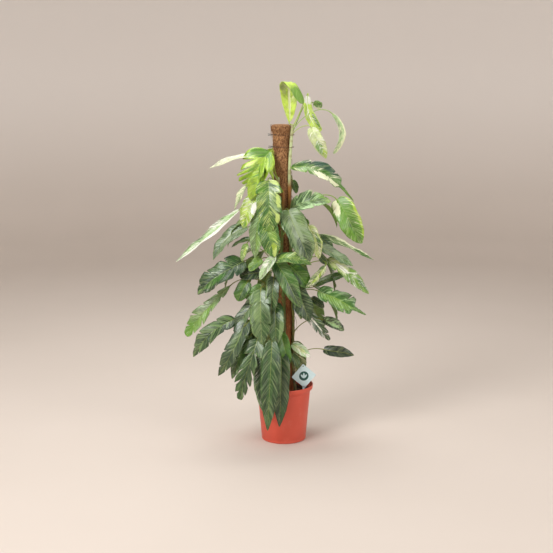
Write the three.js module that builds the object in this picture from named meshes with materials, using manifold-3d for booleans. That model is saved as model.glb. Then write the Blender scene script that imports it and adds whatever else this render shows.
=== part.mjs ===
// Potted variegated Epipremnum pinnatum on a coir pole.
// Millimetres, +Z up, origin at the middle of the pot's underside. The plant's front looks along -Y.
import * as THREE from "three";
import { mergeVertices } from "three/addons/utils/BufferGeometryUtils.js";
import Module from "manifold-3d";

const wasm = await Module();
wasm.setup();

// Driving dimensions
const potHeight = 232;
const rimRadius = 120;
const rimBand = 18;
const bodyTopRadius = 109;
const baseRadius = 90;
const potWall = 2.2;
const potFloor = 4;
const potSides = 32;
const drainHoles = 8;
const drainRadius = 5.5;
const drainRing = 58;
const seatGap = 0.3;
const soilLevel = 206;
const sleeveRadius = 34;
const sleeveBottom = 70;
const sleeveTop = 1290;
const capRadius = 39;
const capHeight = 28;
const coreRadius = 12.5;
const coreTop = 1240;
const stemRadius = 7;
const petioleRadius = 1.9;
const bladeThickness = 1;
const wireRadius = 1.1;
const labelSide = 72;
const labelThickness = 1.2;

const rad = THREE.MathUtils.degToRad;
const mix = THREE.MathUtils.lerp;
const vec = (x, y, z) => new THREE.Vector3(x, y, z);

// The pole leans a little to the left as it rises
function poleMiddle(z) {
  const lean = 22;
  const start = 9;
  return start - lean * Math.max(z / sleeveTop, 0) ** 2;
}

// Repeatable draws between 0 and 1
function drawsFrom(seed) {
  const modulus = 2147483647;
  let state = (seed * 7919 + 12345) % modulus;
  return () => {
    state = (state * 16807) % modulus;
    return state / modulus;
  };
}

// Solids

function solidOf(geometry) {
  const bare = geometry.index ? geometry.clone() : geometry;
  bare.deleteAttribute("normal");
  bare.deleteAttribute("uv");
  const merged = mergeVertices(bare, 1e-4);
  const mesh = new wasm.Mesh({
    numProp: 3,
    vertProperties: new Float32Array(merged.attributes.position.array),
    triVerts: new Uint32Array(merged.index.array),
  });
  mesh.merge();
  return new wasm.Manifold(mesh);
}

function geometryOf(solid) {
  const mesh = solid.getMesh();
  const geometry = new THREE.BufferGeometry();
  geometry.setAttribute("position", new THREE.BufferAttribute(mesh.vertProperties, 3));
  geometry.setIndex(new THREE.BufferAttribute(mesh.triVerts, 1));
  geometry.computeVertexNormals();
  return geometry;
}

function turned(profile, sides) {
  const points = profile.map(([r, z]) => new THREE.Vector2(r, z));
  const geometry = new THREE.LatheGeometry(points, sides);
  geometry.rotateX(Math.PI / 2);
  return geometry;
}

function tubeAlong(curve, radius, sides, steps) {
  const section = new THREE.Shape();
  for (let i = 0; i < sides; i++) {
    const angle = (2 * Math.PI * i) / sides;
    const x = radius * Math.cos(angle);
    const y = radius * Math.sin(angle);
    if (i === 0) section.moveTo(x, y);
    else section.lineTo(x, y);
  }
  section.closePath();
  const settings = { steps, bevelEnabled: false, extrudePath: curve, curveSegments: 1 };
  return new THREE.ExtrudeGeometry(section, settings);
}

function uprightRod(x, y, low, high, radius, sides) {
  const rod = new THREE.CylinderGeometry(radius, radius, high - low, sides);
  rod.rotateX(Math.PI / 2);
  rod.translate(x, y, (low + high) / 2);
  return rod;
}

function moveVertices(geometry, place) {
  const position = geometry.attributes.position;
  for (let i = 0; i < position.count; i++) {
    const point = vec(position.getX(i), position.getY(i), position.getZ(i));
    place(point);
    position.setXYZ(i, point.x, point.y, point.z);
  }
  return geometry;
}

// Stems. Each runs straight up out of the soil, then leans in to the pole and climbs it.

const buriedEnd = 140;
const climbRadius = sleeveRadius + stemRadius + 2;

// turn is measured round the pole from the front, positive towards the right
function besidePole(turn, radius, z) {
  const angle = rad(turn);
  return vec(poleMiddle(z) + radius * Math.sin(angle), -radius * Math.cos(angle), z);
}

function climbingStem(footTurn, climb) {
  const foot = besidePole(footTurn, climbRadius + 14, soilLevel);
  const points = [0, 24, 48, 72, 84].map((rise) => vec(foot.x, foot.y, buriedEnd + rise));
  for (const [turn, radius, z] of climb) points.push(besidePole(turn, radius, z));
  const curve = new THREE.CatmullRomCurve3(points, false, "centripetal");
  return { foot, curve };
}

const stems = {
  right: climbingStem(40, [
    [42, climbRadius, 330],
    [48, climbRadius, 520],
    [38, climbRadius, 760],
    [36, climbRadius, 1000],
    [44, climbRadius, 1130],
    [58, climbRadius + 2, 1220],
    [74, climbRadius + 5, 1292],
  ]),
  left: climbingStem(-75, [
    [-72, climbRadius, 330],
    [-66, climbRadius, 560],
    [-58, climbRadius, 820],
    [-36, climbRadius, 1000],
    [-20, climbRadius, 1084],
  ]),
  front: climbingStem(-14, [
    [-10, climbRadius, 330],
    [-4, climbRadius, 520],
    [-14, climbRadius, 760],
    [-4, climbRadius, 930],
    [4, climbRadius, 1036],
  ]),
  back: climbingStem(178, [
    [176, climbRadius, 330],
    [168, climbRadius, 560],
    [180, climbRadius, 820],
    [192, climbRadius, 1040],
    [186, climbRadius, 1170],
  ]),
};

function stemPointAt(stem, z) {
  let low = 0;
  let high = 1;
  for (let i = 0; i < 24; i++) {
    const middle = (low + high) / 2;
    if (stem.curve.getPoint(middle).z < z) low = middle;
    else high = middle;
  }
  return stem.curve.getPoint(low);
}

// Leaves. Places are read on the upright plane through the pole, as [across, height, depth],
// and moved along the line of sight from the viewing point to their depth.

const viewingPoint = vec(-30, -4900, 1600);

function sighted([across, height, depth]) {
  const share = (depth - viewingPoint.y) / -viewingPoint.y;
  return vec(
    mix(viewingPoint.x, across, share),
    depth,
    mix(viewingPoint.z, height, share),
  );
}

function facing(turn, rise) {
  const flat = Math.cos(rad(rise));
  return vec(flat * Math.sin(rad(turn)), -flat * Math.cos(rad(turn)), Math.sin(rad(rise)));
}

// Lobes on each side, depth of the cuts between them, width of a cut, breadth of a lobe just after
// its cut, fullness of the outline towards base and tip, and the slant of the side veins at the
// base and further on. A tail is what is left of the breadth beyond the body of the blade. A blade
// without lobes is given by its rings, as shares of its length, and trim narrows its left half.
const evenRings = [0, 0.07, 0.24, 0.5, 0.78, 1];
const foldRings = [0, 0.1, 0.28, 0.44, 0.56, 0.68, 0.8, 1];
const foldTrim = [1, 1, 1, 0.85, 0.55, 0.4, 0.6, 1];

const forms = {
  plain: { rings: evenRings, base: 0.5, tip: 0.9, slant: [-24, 32] },
  narrow: { rings: evenRings, base: 0.65, tip: 1, slant: [0, 34] },
  strap: { rings: evenRings, base: 0.5, tip: 0.5, slant: [0, 30] },
  folded: { rings: foldRings, trim: foldTrim, base: 0.85, tip: 0.5, slant: [10, 20] },
  notched: { lobes: 4, cut: 0.5, gap: 0.02, brim: 0.92, base: 0.54, tip: 0.95, slant: [-10, 38] },
  tailed: { lobes: 4, cut: 0.5, gap: 0.02, brim: 0.92, base: 0.5, tip: 0.7, slant: [-6, 34], tail: 0.3 },
  late: { lobes: 5, cut: 0.6, gap: 0.024, brim: 0.88, base: 1.1, tip: 0.8, slant: [0, 42] },
  comb: { lobes: 6, cut: 0.86, gap: 0.03, brim: 0.86, base: 0.36, tip: 0.9, slant: [24, 54] },
  fingered: { lobes: 5, cut: 0.8, gap: 0.034, brim: 0.8, base: 0.46, tip: 0.8, slant: [6, 56] },
};

// Stem, node height, blade base, blade tip, width, facing [turn, rise], arch, sway and form.
// A sway of two numbers bends the two halves of the midrib apart from each other.
const sightedLeaves = [
  // Crown, above and right of the pole
  ["right", 1276, [94, 1403, 28], [146, 1264, 12], 46, [5, 15], 0.14, [-0.2, -0.2], "strap"],
  ["right", 1250, [108, 1276, -22], [167, 1154, -28], 58, [0, 15], 0.2, -0.06, "plain"],
  ["right", 1266, [189, 1333, 22], [196, 1175, 20], 32, [15, 15], 0.1, [0.3, 0.3], "strap"],
  ["right", 1256, [118, 1374, 58], [149, 1358, 64], 36, [0, 10], 0.05, 0, "plain"],
  ["right", 1100, [28, 1120, -34], [280, 982, -64], 90, [8, 50], 0.3, 0.08, "tailed"],
  ["back", 1040, [34, 1068, 50], [50, 1016, 62], 32, [20, 10], 0.15, 0, "plain"],
  // Right side, middle heights
  ["right", 930, [26, 952, -52], [188, 984, -84], 98, [0, 38], 0.32, 0, "notched"],
  ["right", 925, [212, 990, -36], [314, 814, -62], 106, [-16, 25], 0.14, 0.05, "plain"],
  ["right", 830, [141, 850, -4], [363, 746, 6], 60, [5, 70], 0.03, 0, "narrow"],
  ["right", 812, [145, 840, -20], [198, 787, -26], 42, [0, 20], 0.1, 0, "plain"],
  ["right", 775, [149, 803, -42], [279, 722, -52], 54, [10, 42], 0.02, 0, "plain"],
  ["right", 742, [138, 770, -60], [174, 726, -68], 28, [-20, 10], 0.08, 0, "narrow"],
  ["right", 705, [176, 750, -26], [346, 606, -38], 76, [5, 36], 0.1, 0.04, "notched"],
  ["right", 690, [168, 724, -84], [88, 632, -112], 42, [35, 12], 0.1, 0, "narrow"],
  ["right", 606, [128, 640, -14], [262, 688, -6], 44, [0, 42], 0.2, 0, "narrow"],
  ["right", 590, [138, 619, -60], [334, 519, -82], 102, [6, 34], 0.06, 0, "tailed"],
  ["right", 545, [112, 588, -24], [164, 550, -18], 42, [15, 40], 0.12, 0, "plain"],
  ["right", 500, [41, 569, -62], [188, 415, -76], 90, [5, 28], 0.12, 0.04, "fingered"],
  ["right", 450, [160, 500, 2], [246, 454, 8], 52, [10, 35], 0.2, 0, "plain"],
  ["right", 400, [36, 398, -58], [108, 342, -66], 46, [10, 20], 0.12, 0, "plain"],
  ["right", 330, [164, 375, -10], [287, 350, -14], 54, [0, 32], 0.12, -0.05, "plain"],
  ["right", 300, [34, 354, -56], [62, 298, -64], 36, [20, 10], 0.12, 0, "plain"],
  // Left side, from the crown down
  ["left", 1076, [-52, 1185, -38], [-136, 1038, -52], 198, [-24, 24], 0.2, -0.04, "comb"],
  ["left", 1070, [-127, 1171, -30], [-297, 1116, -24], 42, [0, 60], 0.08, 0, "narrow"],
  ["left", 1036, [-76, 1118, -72], [-136, 990, -90], 74, [-20, 22], 0.14, 0, "plain"],
  ["left", 990, [-128, 1068, -40], [-198, 948, -50], 46, [-60, 12], 0.12, 0, "narrow"],
  ["left", 920, [-178, 952, -12], [-436, 738, 8], 62, [-10, 62], 0, 0, "narrow"],
  ["left", 955, [-112, 1010, -72], [-164, 877, -88], 74, [-20, 16], 0.14, 0, "plain"],
  ["left", 900, [-88, 966, -80], [-117, 754, -104], 74, [-15, 16], 0.12, 0, "plain"],
  ["left", 840, [-148, 880, -34], [-286, 746, -48], 70, [-30, 36], 0.12, [-0.12, -0.12], "plain"],
  ["left", 790, [-122, 834, -46], [-212, 798, -44], 32, [0, 62], 0.16, 0, "narrow"],
  ["left", 765, [-150, 812, -56], [-170, 740, -64], 32, [-20, 10], 0.1, 0, "plain"],
  ["left", 700, [-162, 742, -62], [-350, 604, -88], 126, [-8, 42], 0.18, 0.06, "notched"],
  ["left", 715, [-92, 750, -88], [-142, 702, -96], 46, [-10, 30], 0.12, 0, "plain"],
  ["left", 660, [-98, 694, -74], [-180, 678, -78], 64, [0, 34], 0.14, 0, "plain"],
  ["left", 615, [-214, 644, -30], [-398, 432, -44], 94, [-12, 36], 0.12, 0.02, "late"],
  ["left", 610, [-149, 656, -84], [-188, 577, -94], 66, [-10, 22], 0.12, 0, "plain"],
  ["left", 600, [-89, 635, -96], [-154, 586, -104], 54, [-5, 30], 0.12, 0, "plain"],
  ["left", 540, [-125, 569, -64], [-199, 432, -74], 70, [-30, 22], 0.14, 0, "plain"],
  ["left", 450, [-199, 503, -44], [-372, 343, -64], 98, [-12, 38], 0.3, 0, "notched"],
  ["left", 430, [-154, 503, -86], [-270, 263, -100], 90, [-18, 24], 0.12, [0.1, 0.08], "notched"],
  ["left", 440, [-133, 496, -96], [-162, 440, -102], 38, [-10, 15], 0.1, 0, "plain"],
  ["left", 375, [-106, 484, -50], [-152, 368, -62], 62, [-20, 15], 0.1, 0, "plain"],
  // Front, from the crown down
  ["front", 1024, [-64, 1068, -112], [-56, 860, -150], 130, [0, 22], 0.16, 0, "notched"],
  ["front", 915, [16, 949, -109], [101, 734, -140], 116, [8, 26], 0.16, -0.06, "plain"],
  ["front", 880, [-72, 908, -128], [-38, 757, -152], 92, [-4, 20], 0.14, 0, "plain"],
  ["front", 850, [100, 885, -84], [141, 750, -98], 64, [28, 16], 0.12, 0, "plain"],
  ["front", 712, [-36, 746, -126], [113, 726, -142], 54, [0, 34], 0.42, 0, "plain"],
  ["front", 725, [-34, 764, -142], [-98, 664, -154], 48, [-18, 30], 0.16, 0, "narrow"],
  ["front", 700, [-36, 742, -106], [70, 548, -132], 82, [4, 22], 0.12, 0.04, "plain"],
  ["front", 670, [25, 722, -84], [102, 631, -96], 78, [12, 26], 0.12, 0, "plain"],
  ["front", 600, [33, 648, -86], [106, 494, -102], 90, [10, 18], 0.12, 0, "plain"],
  ["front", 585, [-40, 677, -112], [-52, 515, -130], 62, [-6, 18], 0.14, 0, "plain"],
  ["front", 575, [-94, 624, -118], [-89, 394, -144], 110, [-8, 22], 0.14, 0, "notched"],
  ["front", 525, [-36, 569, -104], [-32, 390, -142], 78, [4, 18], 0.12, 0, "plain"],
  ["front", 405, [-14, 446, -98], [20, 300, -116], 56, [8, 18], 0.12, 0, "plain"],
  ["front", 370, [-108, 420, -104], [-181, 162, -134], 132, [-12, 22], 0.12, 0.04, "fingered"],
  ["front", 360, [-48, 414, -142], [-67, 28, -178], 86, [0, 16], 0.1, 0, "plain"],
  ["front", 300, [-12, 364, -118], [-18, 45, -148], 82, [10, 14], 0.08, 0, "plain"],
  ["front", 305, [-89, 356, -122], [-82, 105, -146], 78, [-12, 14], 0.08, 0, "plain"],
  // Low on the left, behind the front leaves
  ["left", 415, [-138, 432, -74], [-213, 250, -90], 64, [-18, 20], 0.12, 0, "plain"],
];

// Leaves on the far side and the flanks, alternating round each stem as they climb
const ruledSprays = [
  { stem: "back", seed: 104, count: 16, low: 250, high: 1160, turn: 180, spread: 46 },
  { stem: "right", seed: 55, count: 3, low: 520, high: 1000, turn: 98, spread: 8 },
  { stem: "left", seed: 30, count: 3, low: 470, high: 980, turn: -100, spread: 14 },
];

function ruledLeaf(spray, i, draw) {
  const swings = [0.6, -0.25, 1, 0.25, -1, -0.6];
  const share = (i + 0.5) / spray.count;
  const node = mix(spray.low, spray.high, share);
  const turn = spray.turn + spray.spread * swings[i % swings.length] + mix(-7, 7, draw());
  const reach = mix(92, 140, draw());
  const length = mix(250, 150, share) * mix(0.85, 1.12, draw());
  const out = length * mix(0.25, 0.62, draw());
  const drop = Math.sqrt(length * length - out * out);
  const rise = mix(34, 74, draw());
  const base = besidePole(turn, reach, node + rise);
  const tip = besidePole(turn + mix(-8, 8, draw()), reach + out, node + rise);
  tip.z -= drop;
  const kinds = ["plain", "notched", "plain", "plain", "notched"];
  const form = kinds[Math.floor(draw() * kinds.length)];
  const width = length * (form === "plain" ? 0.42 : 0.5);
  const sway = mix(-0.06, 0.06, draw());
  const face = facing(turn, 35);
  return { stem: spray.stem, node, base, tip, width, face, arch: 0.16, sway, form };
}

// The youngest leaf stands on the end of the right-hand stem and folds over to the right
const crownLeaf = {
  stem: "right",
  node: 1284,
  base: sighted([20, 1297, 0]),
  handles: [sighted([32, 1350, 10]), sighted([-12, 1579, -44])],
  tip: sighted([74, 1370, -76]),
  width: 88,
  face: facing(8, 0),
  form: "folded",
};

function plantLeaves() {
  const leaves = [crownLeaf];
  for (const [stem, node, base, tip, width, [turn, rise], arch, sway, form] of sightedLeaves) {
    const face = facing(turn, rise);
    leaves.push({ stem, node, base: sighted(base), tip: sighted(tip), width, face, arch, sway, form });
  }
  for (const spray of ruledSprays) {
    const draw = drawsFrom(spray.seed);
    for (let i = 0; i < spray.count; i++) leaves.push(ruledLeaf(spray, i, draw));
  }
  leaves.forEach((leaf, i) => settle(leaf, i));
  return leaves;
}

const frameSteps = 16;

// Adds the midrib curve, the directions along it, and the draws of one leaf
function settle(leaf, index) {
  const chord = leaf.tip.clone().sub(leaf.base);
  const length = chord.length();
  const ahead = chord.clone().normalize();
  const up = leaf.face.clone().addScaledVector(ahead, -leaf.face.dot(ahead)).normalize();
  const across = up.clone().cross(ahead);
  if (!leaf.handles) {
    const [early, late] = Array.isArray(leaf.sway) ? leaf.sway : [leaf.sway, -leaf.sway * 0.5];
    const first = leaf.base.clone().addScaledVector(chord, 0.33);
    const second = leaf.base.clone().addScaledVector(chord, 0.67);
    first.addScaledVector(up, leaf.arch * length).addScaledVector(across, early * length);
    second.addScaledVector(up, leaf.arch * length * 0.8).addScaledVector(across, late * length);
    leaf.handles = [first, second];
  }
  leaf.midrib = new THREE.CubicBezierCurve3(leaf.base, leaf.handles[0], leaf.handles[1], leaf.tip);
  leaf.shape = forms[leaf.form];
  const draw = drawsFrom(index + 1);
  leaf.phase = draw();
  leaf.waves = mix(1.2, 2.2, draw());
  leaf.cuts = [];
  for (let j = 1; j < (leaf.shape.lobes ?? 0); j++) {
    leaf.cuts.push([mix(0.6, 1.12, draw()), mix(0.6, 1.12, draw())]);
  }
  const start = leaf.midrib.getTangent(0);
  leaf.frames = framesAlong(leaf.midrib, leaf.face.clone().cross(start), frameSteps);
}

// Directions along a curve, carried on without twist from the first side direction
function framesAlong(curve, firstSide, steps) {
  const frames = [];
  let side = firstSide;
  for (let i = 0; i <= steps; i++) {
    const along = curve.getTangent(i / steps);
    side = side.clone().addScaledVector(along, -side.dot(along)).normalize();
    frames.push({ along, side, up: side.clone().cross(along).negate() });
  }
  return frames;
}

function frameAt(leaf, u) {
  const place = Math.min(u * frameSteps, frameSteps - 1e-6);
  const i = Math.floor(place);
  const blend = (key) => leaf.frames[i][key].clone().lerp(leaf.frames[i + 1][key], place - i).normalize();
  return { at: leaf.midrib.getPoint(u), along: blend("along"), side: blend("side"), up: blend("up") };
}

const foldRise = 0.16;
const waveRise = 0.09;

// A point of the blade, reached along the side vein that leaves the midrib at u
function bladePoint(leaf, u, side, reach) {
  const { at, along, side: across, up } = frameAt(leaf, u);
  const [baseSlant, fullSlant] = leaf.shape.slant;
  const slant = rad(mix(baseSlant, fullSlant, THREE.MathUtils.smoothstep(u, 0, 0.3)));
  const edge = (2 * reach) / leaf.width;
  const wave = Math.sin(2 * Math.PI * (leaf.waves * u + leaf.phase + 0.2 * side));
  const lift = reach * foldRise + leaf.width * waveRise * wave * edge * edge;
  return at
    .addScaledVector(across, side * reach * Math.cos(slant))
    .addScaledVector(along, reach * Math.sin(slant))
    .addScaledVector(up, lift);
}

const leastReach = 1.2;
const bodyEnd = 0.58;
const tailStart = 0.72;

function halfWidth(leaf, u) {
  const { base, tip } = leaf.shape;
  const widest = base / (base + tip);
  const peak = widest ** base * (1 - widest) ** tip;
  const share = (Math.max(u, 0) ** base * Math.max(1 - u, 0) ** tip) / peak;
  const left = mix(1, leaf.shape.tail ?? 1, THREE.MathUtils.smoothstep(u, bodyEnd, tailStart));
  return Math.max((leaf.width / 2) * share * left, leastReach);
}

const firstCut = 0.2;
const lastCut = 0.8;

// Stations along the midrib, each with its reach to the left and right margin
function bladeStations(leaf) {
  const { rings, trim, lobes, cut, gap, brim, tail } = leaf.shape;
  const stations = [];
  const add = (u, left = 1, right = 1) => {
    const half = halfWidth(leaf, u);
    stations.push({ u, reach: [Math.max(half * left, leastReach), Math.max(half * right, leastReach)] });
  };
  if (rings) {
    rings.forEach((u, i) => add(u, trim ? trim[i] : 1));
    return stations;
  }
  add(0);
  add(0.06);
  leaf.cuts.forEach((shares, j) => {
    const u = mix(firstCut, lastCut, j / Math.max(lobes - 2, 1));
    const [left, right] = shares.map((share) => 1 - Math.min(cut * share, 0.93));
    if (tail && j === leaf.cuts.length - 1) [bodyEnd + 0.02, tailStart].forEach((place) => add(place));
    add(u - gap);
    add(u, left, right);
    add(u + gap, brim, brim);
  });
  add(0.92);
  add(1);
  return stations;
}

// The stalk leaves the stem upwards and arrives in line with the blade
function stalkCurve(leaf) {
  const start = stemPointAt(stems[leaf.stem], leaf.node);
  const end = leaf.base;
  const along = leaf.midrib.getTangent(0);
  const span = start.distanceTo(end);
  const outward = end.clone().sub(start).setZ(0).normalize();
  const leaving = start.clone().addScaledVector(outward, span * 0.3).add(vec(0, 0, span * 0.42));
  const arriving = end.clone().addScaledVector(along, -span * 0.3);
  return new THREE.CubicBezierCurve3(start, leaving, arriving, end);
}

const stalkSteps = 3;

// Six points round the stalk, in the order of a blade's section
function stalkRings(leaf) {
  const curve = stalkCurve(leaf);
  const backwards = new THREE.CubicBezierCurve3(curve.v3, curve.v2, curve.v1, curve.v0);
  const frames = framesAlong(backwards, leaf.frames[0].side.clone().negate(), stalkSteps);
  const rings = frames.map(({ along, side }, i) => {
    const across = side.clone().negate();
    const up = along.clone().negate().cross(across);
    const middle = backwards.getPoint(i / stalkSteps);
    return [150, 90, 30, 210, 270, 330].map((turn) => {
      const point = middle.clone().addScaledVector(across, petioleRadius * Math.cos(rad(turn)));
      return point.addScaledVector(up, petioleRadius * Math.sin(rad(turn)));
    });
  });
  return rings.reverse();
}

// Three points across the blade on both faces, thicker along the midrib
function bladeRing(leaf, { u, reach }) {
  const { up } = frameAt(leaf, u);
  const row = [
    bladePoint(leaf, u, -1, reach[0]),
    bladePoint(leaf, u, 1, 0),
    bladePoint(leaf, u, 1, reach[1]),
  ];
  const rib = mix(petioleRadius, bladeThickness / 2, Math.sqrt(u));
  const halves = [bladeThickness / 2, rib, bladeThickness / 2];
  return [1, -1].flatMap((face) =>
    row.map((point, i) => point.clone().addScaledVector(up, face * halves[i])),
  );
}

// A leaf and its stalk as one skin of rings, split into triangles alike on both faces
function leafSolid(leaf) {
  const rings = stalkRings(leaf);
  for (const station of bladeStations(leaf).slice(1)) rings.push(bladeRing(leaf, station));
  const triangles = [];
  const quad = (a, b, c, d) => triangles.push(a, c, b, a, d, c);
  for (let i = 0; i + 1 < rings.length; i++) {
    const here = 6 * i;
    const next = here + 6;
    quad(here, here + 1, next + 1, next);
    quad(here + 2, next + 2, next + 1, here + 1);
    quad(here + 3, next + 3, next + 4, here + 4);
    quad(here + 4, next + 4, next + 5, here + 5);
    quad(here, next, next + 3, here + 3);
    quad(here + 2, here + 5, next + 5, next + 2);
  }
  const last = 6 * (rings.length - 1);
  quad(0, 3, 4, 1);
  quad(1, 4, 5, 2);
  quad(last, last + 1, last + 4, last + 3);
  quad(last + 1, last + 2, last + 5, last + 4);
  const geometry = new THREE.BufferGeometry();
  const positions = rings.flat().flatMap((point) => point.toArray());
  geometry.setAttribute("position", new THREE.BufferAttribute(new Float32Array(positions), 3));
  geometry.setIndex(triangles);
  return solidOf(geometry);
}

function vineSolid(name, leaves) {
  const stem = solidOf(tubeAlong(stems[name].curve, stemRadius, 6, 18));
  const grown = leaves.filter((leaf) => leaf.stem === name).map(leafSolid);
  return wasm.Manifold.union([stem, ...grown]).simplify(0.05);
}

// Pot, soil and pole

function potInnerRadius(z) {
  const shoulder = potHeight - rimBand;
  return mix(baseRadius, bodyTopRadius, z / shoulder) - potWall;
}

function potSolid() {
  const shoulder = potHeight - rimBand;
  const profile = [
    [0, 0],
    [baseRadius - 4, 0],
    [baseRadius - 1, 1.5],
    [baseRadius + 0.5, 5],
    [bodyTopRadius, shoulder],
    [rimRadius - 3, shoulder],
    [rimRadius - 1.5, shoulder + 2],
    [rimRadius, potHeight - 3],
    [rimRadius - 1, potHeight],
    [rimRadius - 2.6, potHeight],
    [rimRadius - 4.2, shoulder + 2.6],
    [bodyTopRadius - potWall, shoulder - 0.6],
    [potInnerRadius(potFloor), potFloor],
    [0, potFloor],
  ];
  let solid = solidOf(turned(profile, potSides));
  for (let i = 0; i < drainHoles; i++) {
    const angle = (2 * Math.PI * (i + 0.5)) / drainHoles;
    const x = drainRing * Math.cos(angle);
    const y = drainRing * Math.sin(angle);
    solid = solid.subtract(solidOf(uprightRod(x, y, -1, potFloor + 1, drainRadius, 8)));
  }
  return solid;
}

function soilHeight(x, y) {
  return 1.6 * Math.sin(x * 0.071 + 1) * Math.cos(y * 0.063) + 1.2 * Math.sin(x * 0.13 + y * 0.11);
}

function soilSolid() {
  const low = potFloor + seatGap;
  const brink = soilLevel - 3;
  const profile = [
    [0, low],
    [potInnerRadius(low) - seatGap, low],
    [potInnerRadius(brink) - seatGap, brink],
    [88, soilLevel - 1],
    [50, soilLevel + 1],
    [0, soilLevel + 1],
  ];
  const body = moveVertices(turned(profile, potSides), (point) => {
    const fromMiddle = Math.hypot(point.x, point.y);
    if (point.z > brink + 1 && fromMiddle > 30) point.z += soilHeight(point.x, point.y);
  });
  let solid = solidOf(body);
  const coreHole = turned(
    [
      [0, low - 2],
      [coreRadius + seatGap, low - 2],
      [coreRadius + seatGap, sleeveBottom - seatGap],
      [sleeveRadius + 1.2, sleeveBottom - seatGap],
      [sleeveRadius + 1.2, soilLevel + 20],
      [0, soilLevel + 20],
    ],
    20,
  );
  solid = solid.subtract(solidOf(moveVertices(coreHole, leanWithPole)));
  for (const stem of Object.values(stems)) {
    const { x, y } = stem.foot;
    const hole = uprightRod(x, y, buriedEnd - seatGap, soilLevel + 20, stemRadius + 1, 10);
    solid = solid.subtract(solidOf(hole));
  }
  return solid.subtract(labelStake(seatGap));
}

function leanWithPole(point) {
  point.x += poleMiddle(point.z);
}

function coreSolid() {
  const low = potFloor + seatGap;
  const heights = [low, sleeveBottom, 400, 700, 1000, coreTop];
  const profile = [[0, low], ...heights.map((z) => [coreRadius, z]), [0, coreTop]];
  return solidOf(moveVertices(turned(profile, 12), leanWithPole));
}

// The sleeve is rough, and its top is rolled outward into a thick edge round a shallow dish
function sleeveSolid() {
  const rings = 6;
  const boreTop = coreTop + seatGap;
  const bore = coreRadius + seatGap + 0.3;
  const shoulder = sleeveTop - capHeight;
  const profile = [[0, boreTop]];
  for (const z of [boreTop, 1000, 700, 400, sleeveBottom]) profile.push([bore, z]);
  for (let i = 0; i <= rings; i++) profile.push([sleeveRadius, mix(sleeveBottom, shoulder - 4, i / rings)]);
  profile.push([capRadius - 2, shoulder], [capRadius, shoulder + 8]);
  profile.push([capRadius, sleeveTop - 10], [capRadius - 5, sleeveTop - 2]);
  profile.push([capRadius - 12, sleeveTop], [20, sleeveTop - 4], [0, sleeveTop - 6]);
  const sleeve = moveVertices(turned(profile, 16), (point) => {
    const turn = Math.atan2(point.y, point.x);
    const swell = 0.5 * Math.sin(3 * turn + point.z * 0.021) + 0.4 * Math.sin(5 * turn - point.z * 0.034);
    const radius = Math.hypot(point.x, point.y);
    if (radius > sleeveRadius - 6) {
      point.x += (swell * point.x) / radius;
      point.y += (swell * point.y) / radius;
    }
    leanWithPole(point);
  });
  return solidOf(sleeve);
}

// Wire ties. Each goes once round the pole and the right-hand stem; its ends twist at the left.

function tieSolid(height) {
  const stem = stemPointAt(stems.right, height);
  const middle = poleMiddle(height);
  const stemTurn = Math.atan2(stem.y, stem.x - middle);
  const stemReach = Math.hypot(stem.x - middle, stem.y);
  const snug = sleeveRadius + 1 + wireRadius + seatGap;
  const round = (turn) => {
    const off = Math.abs(THREE.MathUtils.euclideanModulo(turn - stemTurn + Math.PI, 2 * Math.PI) - Math.PI);
    const over = Math.max(Math.cos(off), 0) * (stemReach + stemRadius + wireRadius + 0.8);
    return Math.max(snug, over);
  };
  const leftTurn = Math.PI;
  const points = [];
  const tail = snug + 16;
  points.push(vec(middle + tail * Math.cos(leftTurn), -2.2, height + 3));
  const steps = 20;
  for (let i = 0; i <= steps; i++) {
    const turn = leftTurn + rad(4) + ((2 * Math.PI - rad(8)) * i) / steps;
    const reach = round(turn);
    const level = height + 1.5 - (3 * i) / steps;
    points.push(vec(middle + reach * Math.cos(turn), reach * Math.sin(turn), level));
  }
  points.push(vec(middle + tail * Math.cos(leftTurn), 2.2, height - 3));
  const curve = new THREE.CatmullRomCurve3(points, false, "centripetal");
  return solidOf(tubeAlong(curve, wireRadius, 4, 26));
}

// Plant label: a square card standing on its corner, drawn out into a pointed stake

const labelFoot = vec(80, -52, 0);
const labelCorner = 228;

function labelStake(extra) {
  const half = 4 + extra;
  const outline = new THREE.Shape();
  outline.moveTo(-half, labelCorner + 8);
  outline.lineTo(-half, 150);
  outline.lineTo(0, 138 - 2 * extra);
  outline.lineTo(half, 150);
  outline.lineTo(half, labelCorner + 8);
  outline.closePath();
  return placedPlate(outline, labelThickness + 2 * extra);
}

function placedPlate(outline, thickness) {
  const plate = new THREE.ExtrudeGeometry(outline, { depth: thickness, bevelEnabled: false });
  plate.translate(0, 0, -thickness / 2);
  plate.rotateX(Math.PI / 2);
  plate.rotateZ(rad(8));
  plate.translate(labelFoot.x, labelFoot.y, 0);
  return solidOf(plate);
}

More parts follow.
